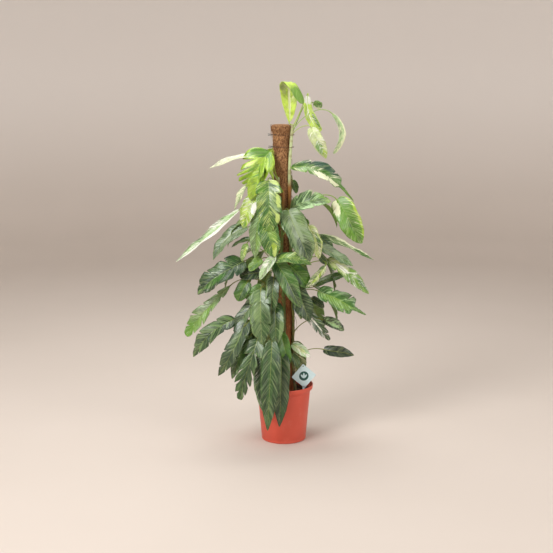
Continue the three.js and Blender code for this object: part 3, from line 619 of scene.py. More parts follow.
# Of each leaf: stem, node height, blade base, blade tip, width, facing, arch, sway and form,
# then its green, its pale colour, the share of that, the green of its tip with the span over
# which it turns, the pale patches as (along, out, half length, half width), and where it has
# them, the fields of another green as (green, along, out, half length, half width)
SIGHTED_LEAVES = [
    # Crown, above and right of the pole
    (("right", 1276, [94, 1403, 28], [146, 1264, 12], 46, [5, 15], 0.14, [-0.2, -0.2], "strap"),
     ("limebright", "white", 0.1, None, [(0.06, 0, 0.16, 1), (0.5, -0.1, 0.34, 0.08)],
      [("grass", 0.7, 0.6, 0.3, 0.35), ("lime", 0.4, -0.5, 0.3, 0.4)])),
    (("right", 1250, [108, 1276, -22], [167, 1154, -28], 58, [0, 15], 0.2, -0.06, "plain"),
     ("creamgreen", "white", 0.14, None, [],
      [("grass", 0.6, -0.3, 0.26, 0.7), ("lime", 0.85, 0.2, 0.2, 0.8)])),
    (("right", 1266, [189, 1333, 22], [196, 1175, 20], 32, [15, 15], 0.1, [0.3, 0.3], "strap"),
     ("mint", "cream", 0.3, None, [(0.5, 0.9, 0.5, 0.3)], [("sage", 0.3, -0.5, 0.3, 0.4)])),
    (("right", 1256, [118, 1374, 58], [149, 1358, 64], 36, [0, 10], 0.05, 0, "plain"),
     ("grass", "cream", 0.1, None, [(0.5, -0.9, 0.5, 0.25)], [("leaf", 0.6, 0.3, 0.4, 0.5)])),
    (("right", 1100, [28, 1120, -34], [280, 982, -64], 90, [8, 50], 0.3, 0.08, "tailed"),
     ("leaf", "cream", 0.05, ("grass", 0.6, 0.9),
      [(0.42, -0.6, 0.14, 0.44), (0.6, -0.55, 0.1, 0.36)],
      [("grass", 0.14, -0.5, 0.16, 0.7), ("teal", 0.36, 0.7, 0.26, 0.4)])),
    (("back", 1040, [34, 1068, 50], [50, 1016, 62], 32, [20, 10], 0.15, 0, "plain"),
     ("leaf", "sage", 0.1, None, [])),
    # Right side, middle heights
    (("right", 930, [26, 952, -52], [188, 984, -84], 98, [0, 38], 0.32, 0, "notched"),
     ("greygreen", "mint", 0.26, ("lime", 0.8, 1), [(0.45, -0.8, 0.2, 0.16), (0.62, -0.8, 0.1, 0.2)],
      [("moss", 0.3, 0.5, 0.4, 0.5), ("cream", 0.5, 0.98, 0.12, 0.16), ("fresh", 0.72, 0.7, 0.16, 0.4)])),
    (("right", 925, [212, 990, -36], [314, 814, -62], 106, [-16, 25], 0.14, 0.05, "plain"),
     ("grass", "cream", 0.04, None, [(0.1, -0.5, 0.16, 0.4)],
      [("lime", 0.45, 1.05, 0.5, 0.3), ("grassdeep", 0.7, 0.2, 0.35, 0.5)])),
    (("right", 830, [141, 850, -4], [363, 746, 6], 60, [5, 70], 0.03, 0, "narrow"),
     ("leaf", "cream", 0.1, None, [(0.5, 0.95, 0.5, 0.4)], [("sage", 0.3, 0.2, 0.4, 0.5)])),
    (("right", 812, [145, 840, -20], [198, 787, -26], 42, [0, 20], 0.1, 0, "plain"),
     ("moss", "cream", 0.02, None, [], [("teal", 0.4, 0, 0.4, 0.6)])),
    (("right", 775, [149, 803, -42], [279, 722, -52], 54, [10, 42], 0.02, 0, "plain"),
     ("greygreen", "silver", 0.3, ("leaf", 0.6, 0.85), [], [("silver", 0.3, 0.2, 0.3, 0.6)])),
    (("right", 742, [138, 770, -60], [174, 726, -68], 28, [-20, 10], 0.08, 0, "narrow"),
     ("moss", "olive", 0.1, None, [])),
    (("right", 705, [176, 750, -26], [346, 606, -38], 76, [5, 36], 0.1, 0.04, "notched"),
     ("fresh", "white", 0.16, None, [(0.3, 0, 0.14, 0.3)],
      [("creamgreen", 0.2, 0, 0.26, 0.9), ("leaf", 0.75, 0.5, 0.2, 0.4)])),
    (("right", 690, [168, 724, -84], [88, 632, -112], 42, [35, 12], 0.1, 0, "narrow"),
     ("leaf", "cream", 0.26, None, [],
      [("lime", 0.4, 0.3, 0.4, 0.4), ("sage", 0.5, -0.6, 0.3, 0.4)])),
    (("right", 606, [128, 640, -14], [262, 688, -6], 44, [0, 42], 0.2, 0, "narrow"),
     ("moss", "sage", 0.14, None, [], [("silver", 0.25, 0.6, 0.3, 0.4)])),
    (("right", 590, [138, 619, -60], [334, 519, -82], 102, [6, 34], 0.06, 0, "tailed"),
     ("leaf", "mint", 0.14, None, [],
      [("fresh", 0.4, -0.3, 0.4, 0.5), ("greygreen", 0.4, 0.9, 0.3, 0.3)])),
    (("right", 545, [112, 588, -24], [164, 550, -18], 42, [15, 40], 0.12, 0, "plain"),
     ("deep", "cream", 0.02, None, [])),
    (("right", 500, [41, 569, -62], [188, 415, -76], 90, [5, 28], 0.12, 0.04, "fingered"),
     ("deep", "white", 0.1, None, [(0.5, 0, 0.3, 0.14)], [("moss", 0.3, 0.5, 0.3, 0.5)])),
    (("right", 450, [160, 500, 2], [246, 454, 8], 52, [10, 35], 0.2, 0, "plain"),
     ("night", "mint", 0.12, None, [], [("mint", 0.42, -0.25, 0.3, 0.42)])),
    (("right", 400, [36, 398, -58], [108, 342, -66], 46, [10, 20], 0.12, 0, "plain"),
     ("mint", "white", 0.2, None, [(0.95, 0, 0.2, 1)], [("creamgreen", 0.4, 0, 0.4, 0.5)])),
    (("right", 330, [164, 375, -10], [287, 350, -14], 54, [0, 32], 0.12, -0.05, "plain"),
     ("night", "moss", 0.02, None, [])),
    (("right", 300, [34, 354, -56], [62, 298, -64], 36, [20, 10], 0.12, 0, "plain"),
     ("moss", "sage", 0.14, None, [])),
    # Left side, from the crown down
    (("left", 1076, [-52, 1185, -38], [-136, 1038, -52], 198, [-24, 24], 0.2, -0.04, "comb"),
     ("lime", "grass", 0.16, None, [],
      [("limebright", 0.25, -0.5, 0.2, 0.3), ("grass", 0.62, 0.4, 0.3, 0.4), ("grassdeep", 0.08, -0.3, 0.14, 0.6)])),
    (("left", 1070, [-127, 1171, -30], [-297, 1116, -24], 42, [0, 60], 0.08, 0, "narrow"),
     ("bone", "cream", 0.3, None, [], [("sage", 0.5, 0.6, 0.4, 0.2)])),
    (("left", 1036, [-76, 1118, -72], [-136, 990, -90], 74, [-20, 22], 0.14, 0, "plain"),
     ("lime", "grass", 0.14, None, [],
      [("grassdeep", 0.04, 0, 0.14, 1), ("lime", 0.7, 0.3, 0.3, 0.5)])),
    (("left", 990, [-128, 1068, -40], [-198, 948, -50], 46, [-60, 12], 0.12, 0, "narrow"),
     ("sage", "cream", 0.34, None, [], [("mint", 0.6, -0.5, 0.4, 0.4)])),
    (("left", 920, [-178, 952, -12], [-436, 738, 8], 62, [-10, 62], 0, 0, "narrow"),
     ("mint", "white", 0.26, None, [(0.5, 0.8, 0.6, 0.4)], [("sage", 0.5, -0.8, 0.5, 0.3)])),
    (("left", 955, [-112, 1010, -72], [-164, 877, -88], 74, [-20, 16], 0.14, 0, "plain"),
     ("lime", "white", 0.16, None, [(0.3, 0.6, 0.14, 0.4)],
      [("limebright", 0.5, -0.4, 0.4, 0.4), ("grass", 0.9, 0.3, 0.14, 0.6)])),
    (("left", 900, [-88, 966, -80], [-117, 754, -104], 74, [-15, 16], 0.12, 0, "plain"),
     ("sage", "mint", 0.16, None, [], [("fresh", 0.5, 0.3, 0.4, 0.5)])),
    (("left", 840, [-148, 880, -34], [-286, 746, -48], 70, [-30, 36], 0.12, [-0.12, -0.12], "plain"),
     ("greygreen", "silver", 0.22, None, [],
      [("silver", 0.4, 0.2, 0.3, 0.5), ("teal", 0.85, 0, 0.2, 0.7)])),
    (("left", 790, [-122, 834, -46], [-212, 798, -44], 32, [0, 62], 0.16, 0, "narrow"),
     ("moss", "olive", 0.1, None, [])),
    (("left", 765, [-150, 812, -56], [-170, 740, -64], 32, [-20, 10], 0.1, 0, "plain"),
     ("fresh", "cream", 0.16, None, [], [("lime", 0.4, 0.3, 0.3, 0.5)])),
    (("left", 700, [-162, 742, -62], [-350, 604, -88], 126, [-8, 42], 0.18, 0.06, "notched"),
     ("deep", "sage", 0.06, None, [(0.95, 0, 0.08, 0.6)],
      [("moss", 0.3, -0.6, 0.4, 0.4), ("leaf", 0.6, 0.3, 0.3, 0.4)])),
    (("left", 715, [-92, 750, -88], [-142, 702, -96], 46, [-10, 30], 0.12, 0, "plain"),
     ("fresh", "mint", 0.12, None, [], [("leaf", 0.6, 0.3, 0.4, 0.5)])),
    (("left", 660, [-98, 694, -74], [-180, 678, -78], 64, [0, 34], 0.14, 0, "plain"),
     ("night", "moss", 0.12, None, [])),
    (("left", 615, [-214, 644, -30], [-398, 432, -44], 94, [-12, 36], 0.12, 0.02, "late"),
     ("sage", "mint", 0.1, ("grass", 0.62, 0.85), [],
      [("silver", 0.42, -0.4, 0.18, 0.5), ("fresh", 0.6, 0.4, 0.3, 0.5)])),
    (("left", 610, [-149, 656, -84], [-188, 577, -94], 66, [-10, 22], 0.12, 0, "plain"),
     ("grassdeep", "moss", 0.2, None, [], [("moss", 0.5, 0.4, 0.5, 0.5)])),
    (("left", 600, [-89, 635, -96], [-154, 586, -104], 54, [-5, 30], 0.12, 0, "plain"),
     ("grassdeep", "mint", 0.1, None, [], [("moss", 0.6, 0.5, 0.4, 0.5)])),
    (("left", 540, [-125, 569, -64], [-199, 432, -74], 70, [-30, 22], 0.14, 0, "plain"),
     ("slate", "silver", 0.12, None, [], [("greygreen", 0.3, 0.5, 0.3, 0.4)])),
    (("left", 450, [-199, 503, -44], [-372, 343, -64], 98, [-12, 38], 0.3, 0, "notched"),
     ("deep", "sage", 0.2, ("sage", 0.9, 1), [], [("slate", 0.5, -0.6, 0.4, 0.5)])),
    (("left", 430, [-154, 503, -86], [-270, 263, -100], 90, [-18, 24], 0.12, [0.1, 0.08], "notched"),
     ("slate", "sage", 0.08, ("deep", 0.55, 0.75), [(0.3, 0.1, 0.16, 0.06)],
      [("greygreen", 0.28, -0.3, 0.2, 0.4)])),
    (("left", 440, [-133, 496, -96], [-162, 440, -102], 38, [-10, 15], 0.1, 0, "plain"),
     ("olive", "lime", 0.06, None, [])),
    (("left", 375, [-106, 484, -50], [-152, 368, -62], 62, [-20, 15], 0.1, 0, "plain"),
     ("moss", "olive", 0.1, None, [])),
    # Front, from the crown down
    (("front", 1024, [-64, 1068, -112], [-56, 860, -150], 130, [0, 22], 0.16, 0, "notched"),
     ("leaf", "palelime", 0.14, ("fresh", 0.8, 0.98),
      [(0.03, 0.7, 0.07, 0.4), (0.3, 0.75, 0.12, 0.14), (0.62, 0.8, 0.1, 0.2)],
      [("sage", 0.34, 0.5, 0.34, 0.5), ("grassdeep", 0.2, -0.6, 0.24, 0.4), ("moss", 0.1, 0.4, 0.14, 0.4)])),
    # On the next leaf the silver streaks and field are a painted sheen, and the deep field towards its tip is
    # painted shade.
    (("front", 915, [16, 949, -109], [101, 734, -140], 116, [8, 26], 0.16, -0.06, "plain"),
     ("sage", "silver", 0.2, None, [(0.3, 0.12, 0.34, 0.12)],
      [("silver", 0.32, -0.12, 0.26, 0.34), ("deep", 0.72, 0, 0.3, 0.9), ("moss", 0.35, -0.95, 0.3, 0.3)])),
    (("front", 880, [-72, 908, -128], [-38, 757, -152], 92, [-4, 20], 0.14, 0, "plain"),
     ("leaf", "palelime", 0.1, None, [(0.92, 0.2, 0.12, 0.5), (0.78, 0.5, 0.1, 0.2)],
      [("fresh", 0.3, 0.3, 0.3, 0.5), ("lime", 0.75, 0.3, 0.2, 0.4)])),
    (("front", 850, [100, 885, -84], [141, 750, -98], 64, [28, 16], 0.12, 0, "plain"),
     ("palelime", "cream", 0.24, None, [], [("leaf", 0.5, 0.5, 0.4, 0.3)])),
    (("front", 712, [-36, 746, -126], [113, 726, -142], 54, [0, 34], 0.42, 0, "plain"),
     ("leaf", "palelime", 0.16, None, [], [("fresh", 0.3, 0.3, 0.4, 0.5)])),
    (("front", 725, [-34, 764, -142], [-98, 664, -154], 48, [-18, 30], 0.16, 0, "narrow"),
     ("mint", "white", 0.2, None, [], [("sage", 0.5, 0.4, 0.5, 0.4)])),
    (("front", 700, [-36, 742, -106], [70, 548, -132], 82, [4, 22], 0.12, 0.04, "plain"),
     ("leaf", "sage", 0.12, None, [], [("deep", 0.8, 0, 0.4, 0.8), ("moss", 0.1, -0.6, 0.3, 0.5)])),
    (("front", 670, [25, 722, -84], [102, 631, -96], 78, [12, 26], 0.12, 0, "plain"),
     ("grassdeep", "moss", 0.2, None, [(0.2, 0.98, 0.16, 0.14)], [("deep", 0.3, -0.6, 0.4, 0.4)])),
    (("front", 600, [33, 648, -86], [106, 494, -102], 90, [10, 18], 0.12, 0, "plain"),
     ("deep", "sage", 0.06, None, [], [("sage", 0.4, 0, 0.36, 0.16)])),
    (("front", 585, [-40, 677, -112], [-52, 515, -130], 62, [-6, 18], 0.14, 0, "plain"),
     ("deep", "sage", 0.06, None, [(0.4, -0.95, 0.46, 0.12)], [("moss", 0.4, 0.4, 0.4, 0.4)])),
    (("front", 575, [-94, 624, -118], [-89, 394, -144], 110, [-8, 22], 0.14, 0, "notched"),
     ("greygreen", "sage", 0.12, None, [(0.45, -0.98, 0.4, 0.1)],
      [("moss", 0.6, 0.5, 0.4, 0.5), ("sage", 0.3, -0.3, 0.3, 0.4)])),
    (("front", 525, [-36, 569, -104], [-32, 390, -142], 78, [4, 18], 0.12, 0, "plain"),
     ("moss", "sage", 0.12, None, [], [("sage", 0.5, 0.7, 0.4, 0.3), ("deep", 0.9, 0, 0.14, 0.8)])),
    (("front", 405, [-14, 446, -98], [20, 300, -116], 56, [8, 18], 0.12, 0, "plain"),
     ("grassdeep", "leaf", 0.2, ("deep", 0.6, 0.95), [(0.45, -0.95, 0.4, 0.1)])),
    (("front", 370, [-108, 420, -104], [-181, 162, -134], 132, [-12, 22], 0.12, 0.04, "fingered"),
     ("moss", "sage", 0.08, None, [], [("deep", 0.6, 0.3, 0.5, 0.7)])),
    (("front", 360, [-48, 414, -142], [-67, 28, -178], 86, [0, 16], 0.1, 0, "plain"),
     ("moss", "greygreen", 0.1, ("deep", 0.85, 1), [],
      [("deep", 0.45, -0.55, 0.45, 0.3), ("deep", 0.5, 0.8, 0.4, 0.5)])),
    (("front", 300, [-12, 364, -118], [-18, 45, -148], 82, [10, 14], 0.08, 0, "plain"),
     ("deep", "moss", 0.14, ("night", 0.6, 0.95), [], [("greygreen", 0.3, -0.1, 0.3, 0.2)])),
    (("front", 305, [-89, 356, -122], [-82, 105, -146], 78, [-12, 14], 0.08, 0, "plain"),
     ("greygreen", "white", 0.04, None, [(0.93, 0, 0.07, 0.14)], [("deep", 0.4, -0.5, 0.5, 0.3)])),
    # Low on the left, behind the front leaves
    (("left", 415, [-138, 432, -74], [-213, 250, -90], 64, [-18, 20], 0.12, 0, "plain"),
     ("moss", "mint", 0.1, None, [], [("leaf", 0.4, 0.3, 0.4, 0.5)])),
]

CROWN_LOOK = (
    "limebright",
    "cream",
    0.05,
    ("grass", 0.8, 0.86),
    [(0.28, 0, 0.4, 0.14)],
    [("palelime", 0.55, 0.6, 0.2, 0.4)],
)

# Leaves on the far side and the flanks: stem, seed, count, lowest and highest node, turn, spread
RULED_SPRAYS = [
    ("back", 104, 16, 250, 1160, 180, 46),
    ("right", 55, 3, 520, 1000, 98, 8),
    ("left", 30, 3, 470, 980, -100, 14),
]


def ruled_leaf(spray, i, draw):
    stem, _, count, low, high, turn_of_spray, spread = spray
    share = (i + 0.5) / count
    node = mix(low, high, share)
    turn = turn_of_spray + spread * (0.6, -0.25, 1, 0.25, -1, -0.6)[i % 6] + mix(-7, 7, draw())
    reach = mix(92, 140, draw())
    length = mix(250, 150, share) * mix(0.85, 1.12, draw())
    out = length * mix(0.25, 0.62, draw())
    rise = mix(34, 74, draw())
    base = beside_pole(turn, reach, node + rise)
    tip = beside_pole(turn + mix(-8, 8, draw()), reach + out, node + rise)
    tip[2] -= math.sqrt(length * length - out * out)
    form = ("plain", "notched", "plain", "plain", "notched")[int(draw() * 5)]
    width = length * (0.42 if form == "plain" else 0.5)
    sway = mix(-0.06, 0.06, draw())
    return Leaf(stem, node, base, tip, width, facing(turn, 35), 0.16, sway, form, ruled_look(node, i))


# The two greens of the ruled leaves whose node lies above each height
RULED_GREENS = (
    (1050, ("fresh", "lime")),
    (760, ("fresh", "leaf")),
    (480, ("leaf", "moss")),
    (0, ("moss", "deep")),
)


def ruled_look(node, i):
    """Limes near the top, deep greens low down, one leaf in four well streaked."""
    greens = next(names for height, names in RULED_GREENS if node > height)
    share = (0.04, 0.22, 0.08, 0.02)[i % 4]
    return (greens[i % 2], "cream", share, None, [])


def vein_place(u, v):
    """Where on the midrib the side vein through this point starts: the veins run out and forwards."""
    return u - 0.09 * np.abs(v) ** 1.2


class Leaf:
    """One leaf: its stem, the curve of its midrib, the directions along it, and its cuts."""

    def __init__(self, stem, node, base, tip, width, face, arch, sway, form, look, handles=None):
        self.stem, self.node, self.width, self.face = stem, node, width, face
        self.shape, self.form, self.look = FORMS[form], form, look
        chord = tip - base
        length = np.linalg.norm(chord)
        ahead = chord / length
        up = unit(face - np.dot(face, ahead) * ahead)
        across = np.cross(up, ahead)
        if handles is None:
            early, late = sway if np.ndim(sway) else (sway, -0.5 * sway)
            first = base + 0.33 * chord + arch * length * up + early * length * across
            second = base + 0.67 * chord + 0.8 * arch * length * up + late * length * across
            handles = (first, second)
        self.midrib = (base, *handles, tip)
        self.steps = 16
        self.ahead = bezier_ahead(self.midrib, np.linspace(0, 1, self.steps + 1))
        side = np.cross(face, self.ahead[0])
        sides = []
        for forward in self.ahead:
            side = unit(side - np.dot(side, forward) * forward)
            sides.append(side)
        self.sides = np.array(sides)
        self.ups = np.cross(self.ahead, self.sides)

    def settle(self, index):
        draw = draws_from(index + 1)
        self.phase = draw()
        self.waves = mix(1.2, 2.2, draw())
        lobes = self.shape["lobes"]
        self.cuts = []
        for j in range(1, lobes):
            shares = (mix(0.6, 1.12, draw()), mix(0.6, 1.12, draw()))
            place_along = mix(0.2, 0.8, (j - 1) / max(lobes - 2, 1))
            self.cuts.append((place_along, shares))
        self.seed = draw()
        self.ripple = (draw(), draw(), draw())

    def frame_at(self, u):
        spot = np.minimum(u * self.steps, self.steps - 1e-6)
        i = spot.astype(int)
        f = (spot - i)[..., None]
        ways = [unit(rows[i] * (1 - f) + rows[i + 1] * f) for rows in (self.ahead, self.sides, self.ups)]
        return bezier(self.midrib, u), *ways

    def half_width(self, u):
        base, tip = self.shape["base"], self.shape["tip"]
        widest = base / (base + tip)
        peak = widest**base * (1 - widest) ** tip
        share = np.maximum(u, 0) ** base * np.maximum(1 - u, 0) ** tip / peak
        left = mix(1, self.shape.get("tail", 1), smooth_step(u, 0.58, 0.72))
        return self.width / 2 * share * left

    def margin(self, u, side):
        """Reach of the blade from the midrib to its edge, with the cuts between the lobes."""
        half = self.half_width(u)
        share = np.ones_like(u)
        if self.form == "folded" and side < 0:
            share *= np.interp(u, FOLD_RINGS, FOLD_TRIM)
        gap, brim = self.shape.get("gap", 0), self.shape.get("brim", 1)
        before = 0
        for place_along, shares in self.cuts:
            deep = 1 - min(self.shape["cut"] * shares[0 if side < 0 else 1], 0.93)
            off = (u - place_along) / gap
            edge = np.where(off < 0, 0.95, brim)
            share = np.where(np.abs(off) < 1, mix(deep, edge, np.abs(off) ** 0.62), share)
            along = np.clip((u - before) / (place_along - gap - before), 0, 1)
            lobe = mix(brim if before else 1, 1, along**0.7) * (1 - 0.05 * along**4)
            share = np.where((u > before) & (off <= -1), lobe, share)
            before = place_along + gap
        if self.cuts:
            share = np.where(u > before, mix(brim, 1, np.clip((u - before) / (0.92 - before), 0, 1)), share)
        a, b, c = self.ripple
        rough = 0.02 * np.sin(2 * math.pi * (4.3 * u + a))
        rough = rough + 0.012 * np.sin(2 * math.pi * (11 * u + b + 0.3 * side))
        reach = half * share * (1 + rough)
        least = np.interp(u, (0, 0.06, 0.9, 1), (1.2, 1.2, 1.0, 0.2))
        return np.maximum(reach, least)

    def skin(self, u, v):
        """Points of the blade at u along the midrib and v of the way out, with the relief of its face."""
        left, right = self.margin(u, -1), self.margin(u, 1)
        side = np.where(v < 0, -1.0, 1.0)
        reach = np.abs(v) * np.where(v < 0, left, right)
        at, along, across, up = self.frame_at(u)
        slant_base, slant_full = self.shape["slant"]
        slant = np.radians(mix(slant_base, slant_full, smooth_step(u, 0, 0.3)))
        edge = 2 * reach / self.width
        wave = np.sin(2 * math.pi * (self.waves * u + self.phase + 0.2 * side))
        lift = 0.16 * reach + 0.09 * self.width * wave * edge * edge
        out = np.clip(reach / np.maximum(self.half_width(u), 1), 0, 1)
        quilt = np.abs(np.sin(math.pi * SIDE_VEINS * vein_place(u, v)))
        quilt = quilt * np.sin(math.pi * np.clip(np.abs(v), 0, 1))
        relief = 0.024 * self.width * quilt * np.sin(math.pi * np.clip(u, 0, 1))
        relief = np.minimum(relief, 1.7)
        curl = 0.011 * self.width * out**3 * np.sin(2 * math.pi * (6.5 * u + self.ripple[2] + 0.37 * side))
        groove = -0.5 * np.exp(-((reach / 1.4) ** 2))
        points = at + (side * reach * np.cos(slant))[..., None] * across
        points += (reach * np.sin(slant))[..., None] * along
        points += (lift + relief + curl + groove)[..., None] * up
        return points, reach

    def rows(self):
        """Places along the midrib where the blade has a row of points: closer at the cuts and ends."""
        places = list(np.linspace(0, 1, 41)) + [0.008, 0.985]
        gap = self.shape.get("gap", 0)
        for place_along, _ in self.cuts:
            places = [p for p in places if abs(p - place_along) > 1.15 * gap]
            places += [place_along + gap * off for off in CUT_ROWS]
        return np.array(sorted(places))

    def colours(self, u, v):
        """Of each point its green, the pale colour and how marked it is, and the field's green."""
        green, pale, share, tip, patches, *fields = self.look
        ground = np.broadcast_to(GREENS[green], u.shape + (3,)).copy()
        if tip:
            amount = smooth_step(u, tip[1], tip[2])[..., None]
            ground = mix(ground, GREENS[tip[0]], amount)
        third, field = ground.copy(), np.zeros_like(u)
        for name, u0, v0, long, wide in fields[0] if fields else ():
            amount = smooth_step(np.hypot((u - u0) / long, (v - v0) / wide), 1.5, 0.3)
            lead = smooth_step(amount - field, -0.1, 0.1)[..., None]
            third = mix(third, GREENS[name], lead)
            field = np.maximum(field, amount)
        spots = np.zeros_like(u)
        for u0, v0, long, wide in patches:
            off = np.hypot((u - u0) / long, (v - v0) / wide)
            spots = np.maximum(spots, smooth_step(off, 1.25, 0.45))
        share = min(max(share, 0.004), 0.9)
        threshold = 0.25 - 0.1 * 4.91 * ((1 - share) ** 0.14 - share**0.14)
        mark = threshold + 0.42 * spots
        second = np.broadcast_to(GREENS[pale], u.shape + (3,))
        return dict(ground=ground, second=second, third=third, mark=mark, field=field)

    def stalk(self):
        """The stalk leaves the stem upwards and arrives in line with the blade."""
        start, end = on_stem(self.stem, self.node), self.midrib[0]
        span = np.linalg.norm(end - start)
        outward = (end - start) * (1, 1, 0)
        leaving = start + unit(outward) * span * 0.3 + np.array([0, 0, span * 0.42])
        return (start, leaving, end - self.ahead[0] * span * 0.3, end)


def plant_leaves():
    crown = Leaf(
        "right",
        1284,
        sighted((20, 1297, 0)),
        sighted((74, 1370, -76)),
        88,
        facing(8, 0),
        0,
        0,
        "folded",
        CROWN_LOOK,
        handles=(sighted((32, 1350, 10)), sighted((-12, 1579, -44))),
    )
    leaves = [crown]
    for (stem, node, base, tip, width, turn, arch, sway, form), look in SIGHTED_LEAVES:
        ends = (sighted(base), sighted(tip))
        leaves.append(Leaf(stem, node, *ends, width, facing(*turn), arch, sway, form, look))
    for spray in RULED_SPRAYS:
        draw = draws_from(spray[1])
        leaves += [ruled_leaf(spray, i, draw) for i in range(spray[2])]
    for i, leaf in enumerate(leaves):
        leaf.settle(i)
    return leaves


HALF_COLUMNS = 8
BLADE_ROOM = 1
BLADE_LOW = np.array(cad_low) / MM + BLADE_ROOM
BLADE_HIGH = np.array(cad_high) / MM - BLADE_ROOM


def add_blade(grids, leaf):
    rows = leaf.rows()
    half = (np.arange(1, HALF_COLUMNS + 1) / HALF_COLUMNS) ** 1.25
    columns = np.concatenate([half[::-1], [0], -half])
    u, v = np.meshgrid(rows, columns, indexing="ij")
    points, reach = leaf.skin(u, v)
    rib = reach / np.interp(u, (0, 1), (1.0, 0.45))
    points = np.clip(points, BLADE_LOW, BLADE_HIGH)
    uv = np.stack([vein_place(u, v), v], axis=-1)
    grids.add(points, uv=uv, rib=rib, seed=leaf.seed, **leaf.colours(u, v))


STALK_GREEN = shade_of("9db24a")
STALK_BROWN = shade_of("8a6d3c")


def add_stalk(grids, leaf):
    """The stalk with its swollen foot and knee, running on under the blade as the raised midrib."""
    t = np.linspace(0, 1, 15)
    path = bezier(leaf.stalk(), t)
    u = np.linspace(0, 0.94, 22)[1:]
    at, _, _, up = leaf.frame_at(u)
    radii = mix(STALK_RADIUS, 0.45, u**0.7)
    path = np.concatenate([path, at - up * (radii[:, None] + 0.1)])
    foot = 2.3 * np.exp(-((t / 0.06) ** 2))
    knee = 0.7 * np.exp(-(((t - 0.97) / 0.05) ** 2))
    radii = np.concatenate([STALK_RADIUS * 0.95 + foot + knee, radii])
    green = GREENS[leaf.look[0]]
    colour = mix(mix(green, STALK_GREEN, 0.65), STALK_BROWN, 0.35 * (leaf.node < 620))
    shades = np.repeat(colour[None], len(radii), axis=0)
    rings = tube(path, radii, 7)
    grids.add(rings, ground=np.repeat(along_rows(shades)[:, None], 8, axis=1))


STEM_TOP = shade_of("ccd9a2")
STEM_RUST = shade_of("a06a34")
STEM_LOW = shade_of("5a5230")
STEM_GREEN = shade_of("6f8440")


def stem_shade(z):
    """Cream-green at the top, rusty at the middle, green below and woody by the soil."""
    heights = (200, 320, 640, 940, 985, 1045, 1080, 1300)
    shades = (STEM_LOW, STEM_LOW, STEM_GREEN, STEM_GREEN, STEM_RUST, STEM_RUST, STEM_TOP, STEM_TOP)
    return np.stack([np.interp(z, heights, [s[k] for s in shades]) for k in range(3)], axis=-1)


def add_stem(grids, name, leaves):
    """A climbing stem with a ring at every leaf, papery remains and a rounded growing end."""
    way = STEMS[name]
    low, high = way[0, 2], way[-1, 2]
    z = np.linspace(low, high, int((high - low) / 5))
    path = np.array([on_stem(name, height) for height in z])
    nodes = [leaf.node for leaf in leaves] + list(np.arange(240, high, 58.0))
    ring = sum(np.exp(-(((z - node) / 4.5) ** 2)) for node in nodes)
    slack = sum(np.exp(-(((z - node - 12) / 9) ** 2)) for node in nodes)
    radii = STEM_RADIUS - 0.9 + 1.0 * np.minimum(ring, 1.2) - 0.25 * np.minimum(slack, 1)
    radii *= np.interp(z, (high - 26, high), (1, 0.55))
    shades = stem_shade(z)
    shades = mix(shades, STALK_BROWN, 0.5 * np.minimum(ring, 1)[:, None])
    rings = tube(path, radii, 14)
    grids.add(rings, ground=np.repeat(along_rows(shades)[:, None], 15, axis=1))


def add_roots(grids, name, seed):
    """Short brown roots that run from the stem on to the sleeve, and a few that hang free."""
    draw = draws_from(seed)
    top = STEMS[name][-1, 2] - 60
    for z in np.arange(236, top, 29.0):
        start = on_stem(name, z + mix(-8, 8, draw()))
        middle = np.array([float(pole_middle(start[2])), 0, start[2]])
        outward = unit((start - middle) * (1, 1, 0))
        aside = np.cross(outward, (0, 0, 1)) * (1 if draw() < 0.5 else -1)
        free = draw() < 0.3
        drop = mix(10, 34, draw()) * (2.2 if free else 1)
        spread = mix(8, 22, draw())
        turn = 9 if free else -3
        corners = (
            start,
            start + aside * spread * 0.6 + outward * turn,
            start + aside * spread - outward * (0 if free else 4) - np.array([0, 0, drop * 0.5]),
            start + aside * spread * 1.2 - outward * (0 if free else 6) - np.array([0, 0, drop]),
        )
        t = np.linspace(0, 1, 9)
        radii = mix(1.15, 0.35, t)
        path = bezier(corners, t)
        path[1:-1] += np.array([[draw() - 0.5 for _ in range(3)] for _ in t[1:-1]]) * 1.6
        shade = shade_of("7a5a34")
        grids.add(tube(path, radii, 5), ground=np.broadcast_to(shade, (11, 6, 3)))


def dress_vines():
    leaves = plant_leaves()
    top = blade_paint("leaf_face", False)
    under = blade_paint("leaf_underside", True)
    skin = stem_paint()
    for turn, name in enumerate(STEMS):
        own = [leaf for leaf in leaves if leaf.stem == name]
        blades, stalks = Grids(), Grids()
        for leaf in own:
            add_blade(blades, leaf)
            add_stalk(stalks, leaf)
        add_stem(stalks, name, own)
        add_roots(stalks, name, 60 + turn)
        mesh = blades.mesh(f"leaves_{name}", False)
        made = place(f"leaves_{name}", mesh, [top, under, top], "vine", f"vine_{name}")
        thick = made.modifiers.new("blade", "SOLIDIFY")
        thick.thickness = 0.7 * MM
        thick.offset = -1
        thick.material_offset = 1
        thick.material_offset_rim = 2
        place(f"stems_{name}", stalks.mesh(f"stems_{name}", True), [skin], "vine", f"vine_{name}")


# Pot


def ring_of(skin, radius, z, sides, middle=(0, 0)):
    made = bmesh.ops.create_circle(skin, cap_ends=False, radius=radius * MM, segments=sides)
    for vert in made["verts"]:
        vert.co += Vector((middle[0] * MM, middle[1] * MM, z * MM))
    return made["verts"]


def edges_between(skin, verts):
    chosen = set(verts)
    return [edge for edge in skin.edges if edge.verts[0] in chosen and edge.verts[1] in chosen]


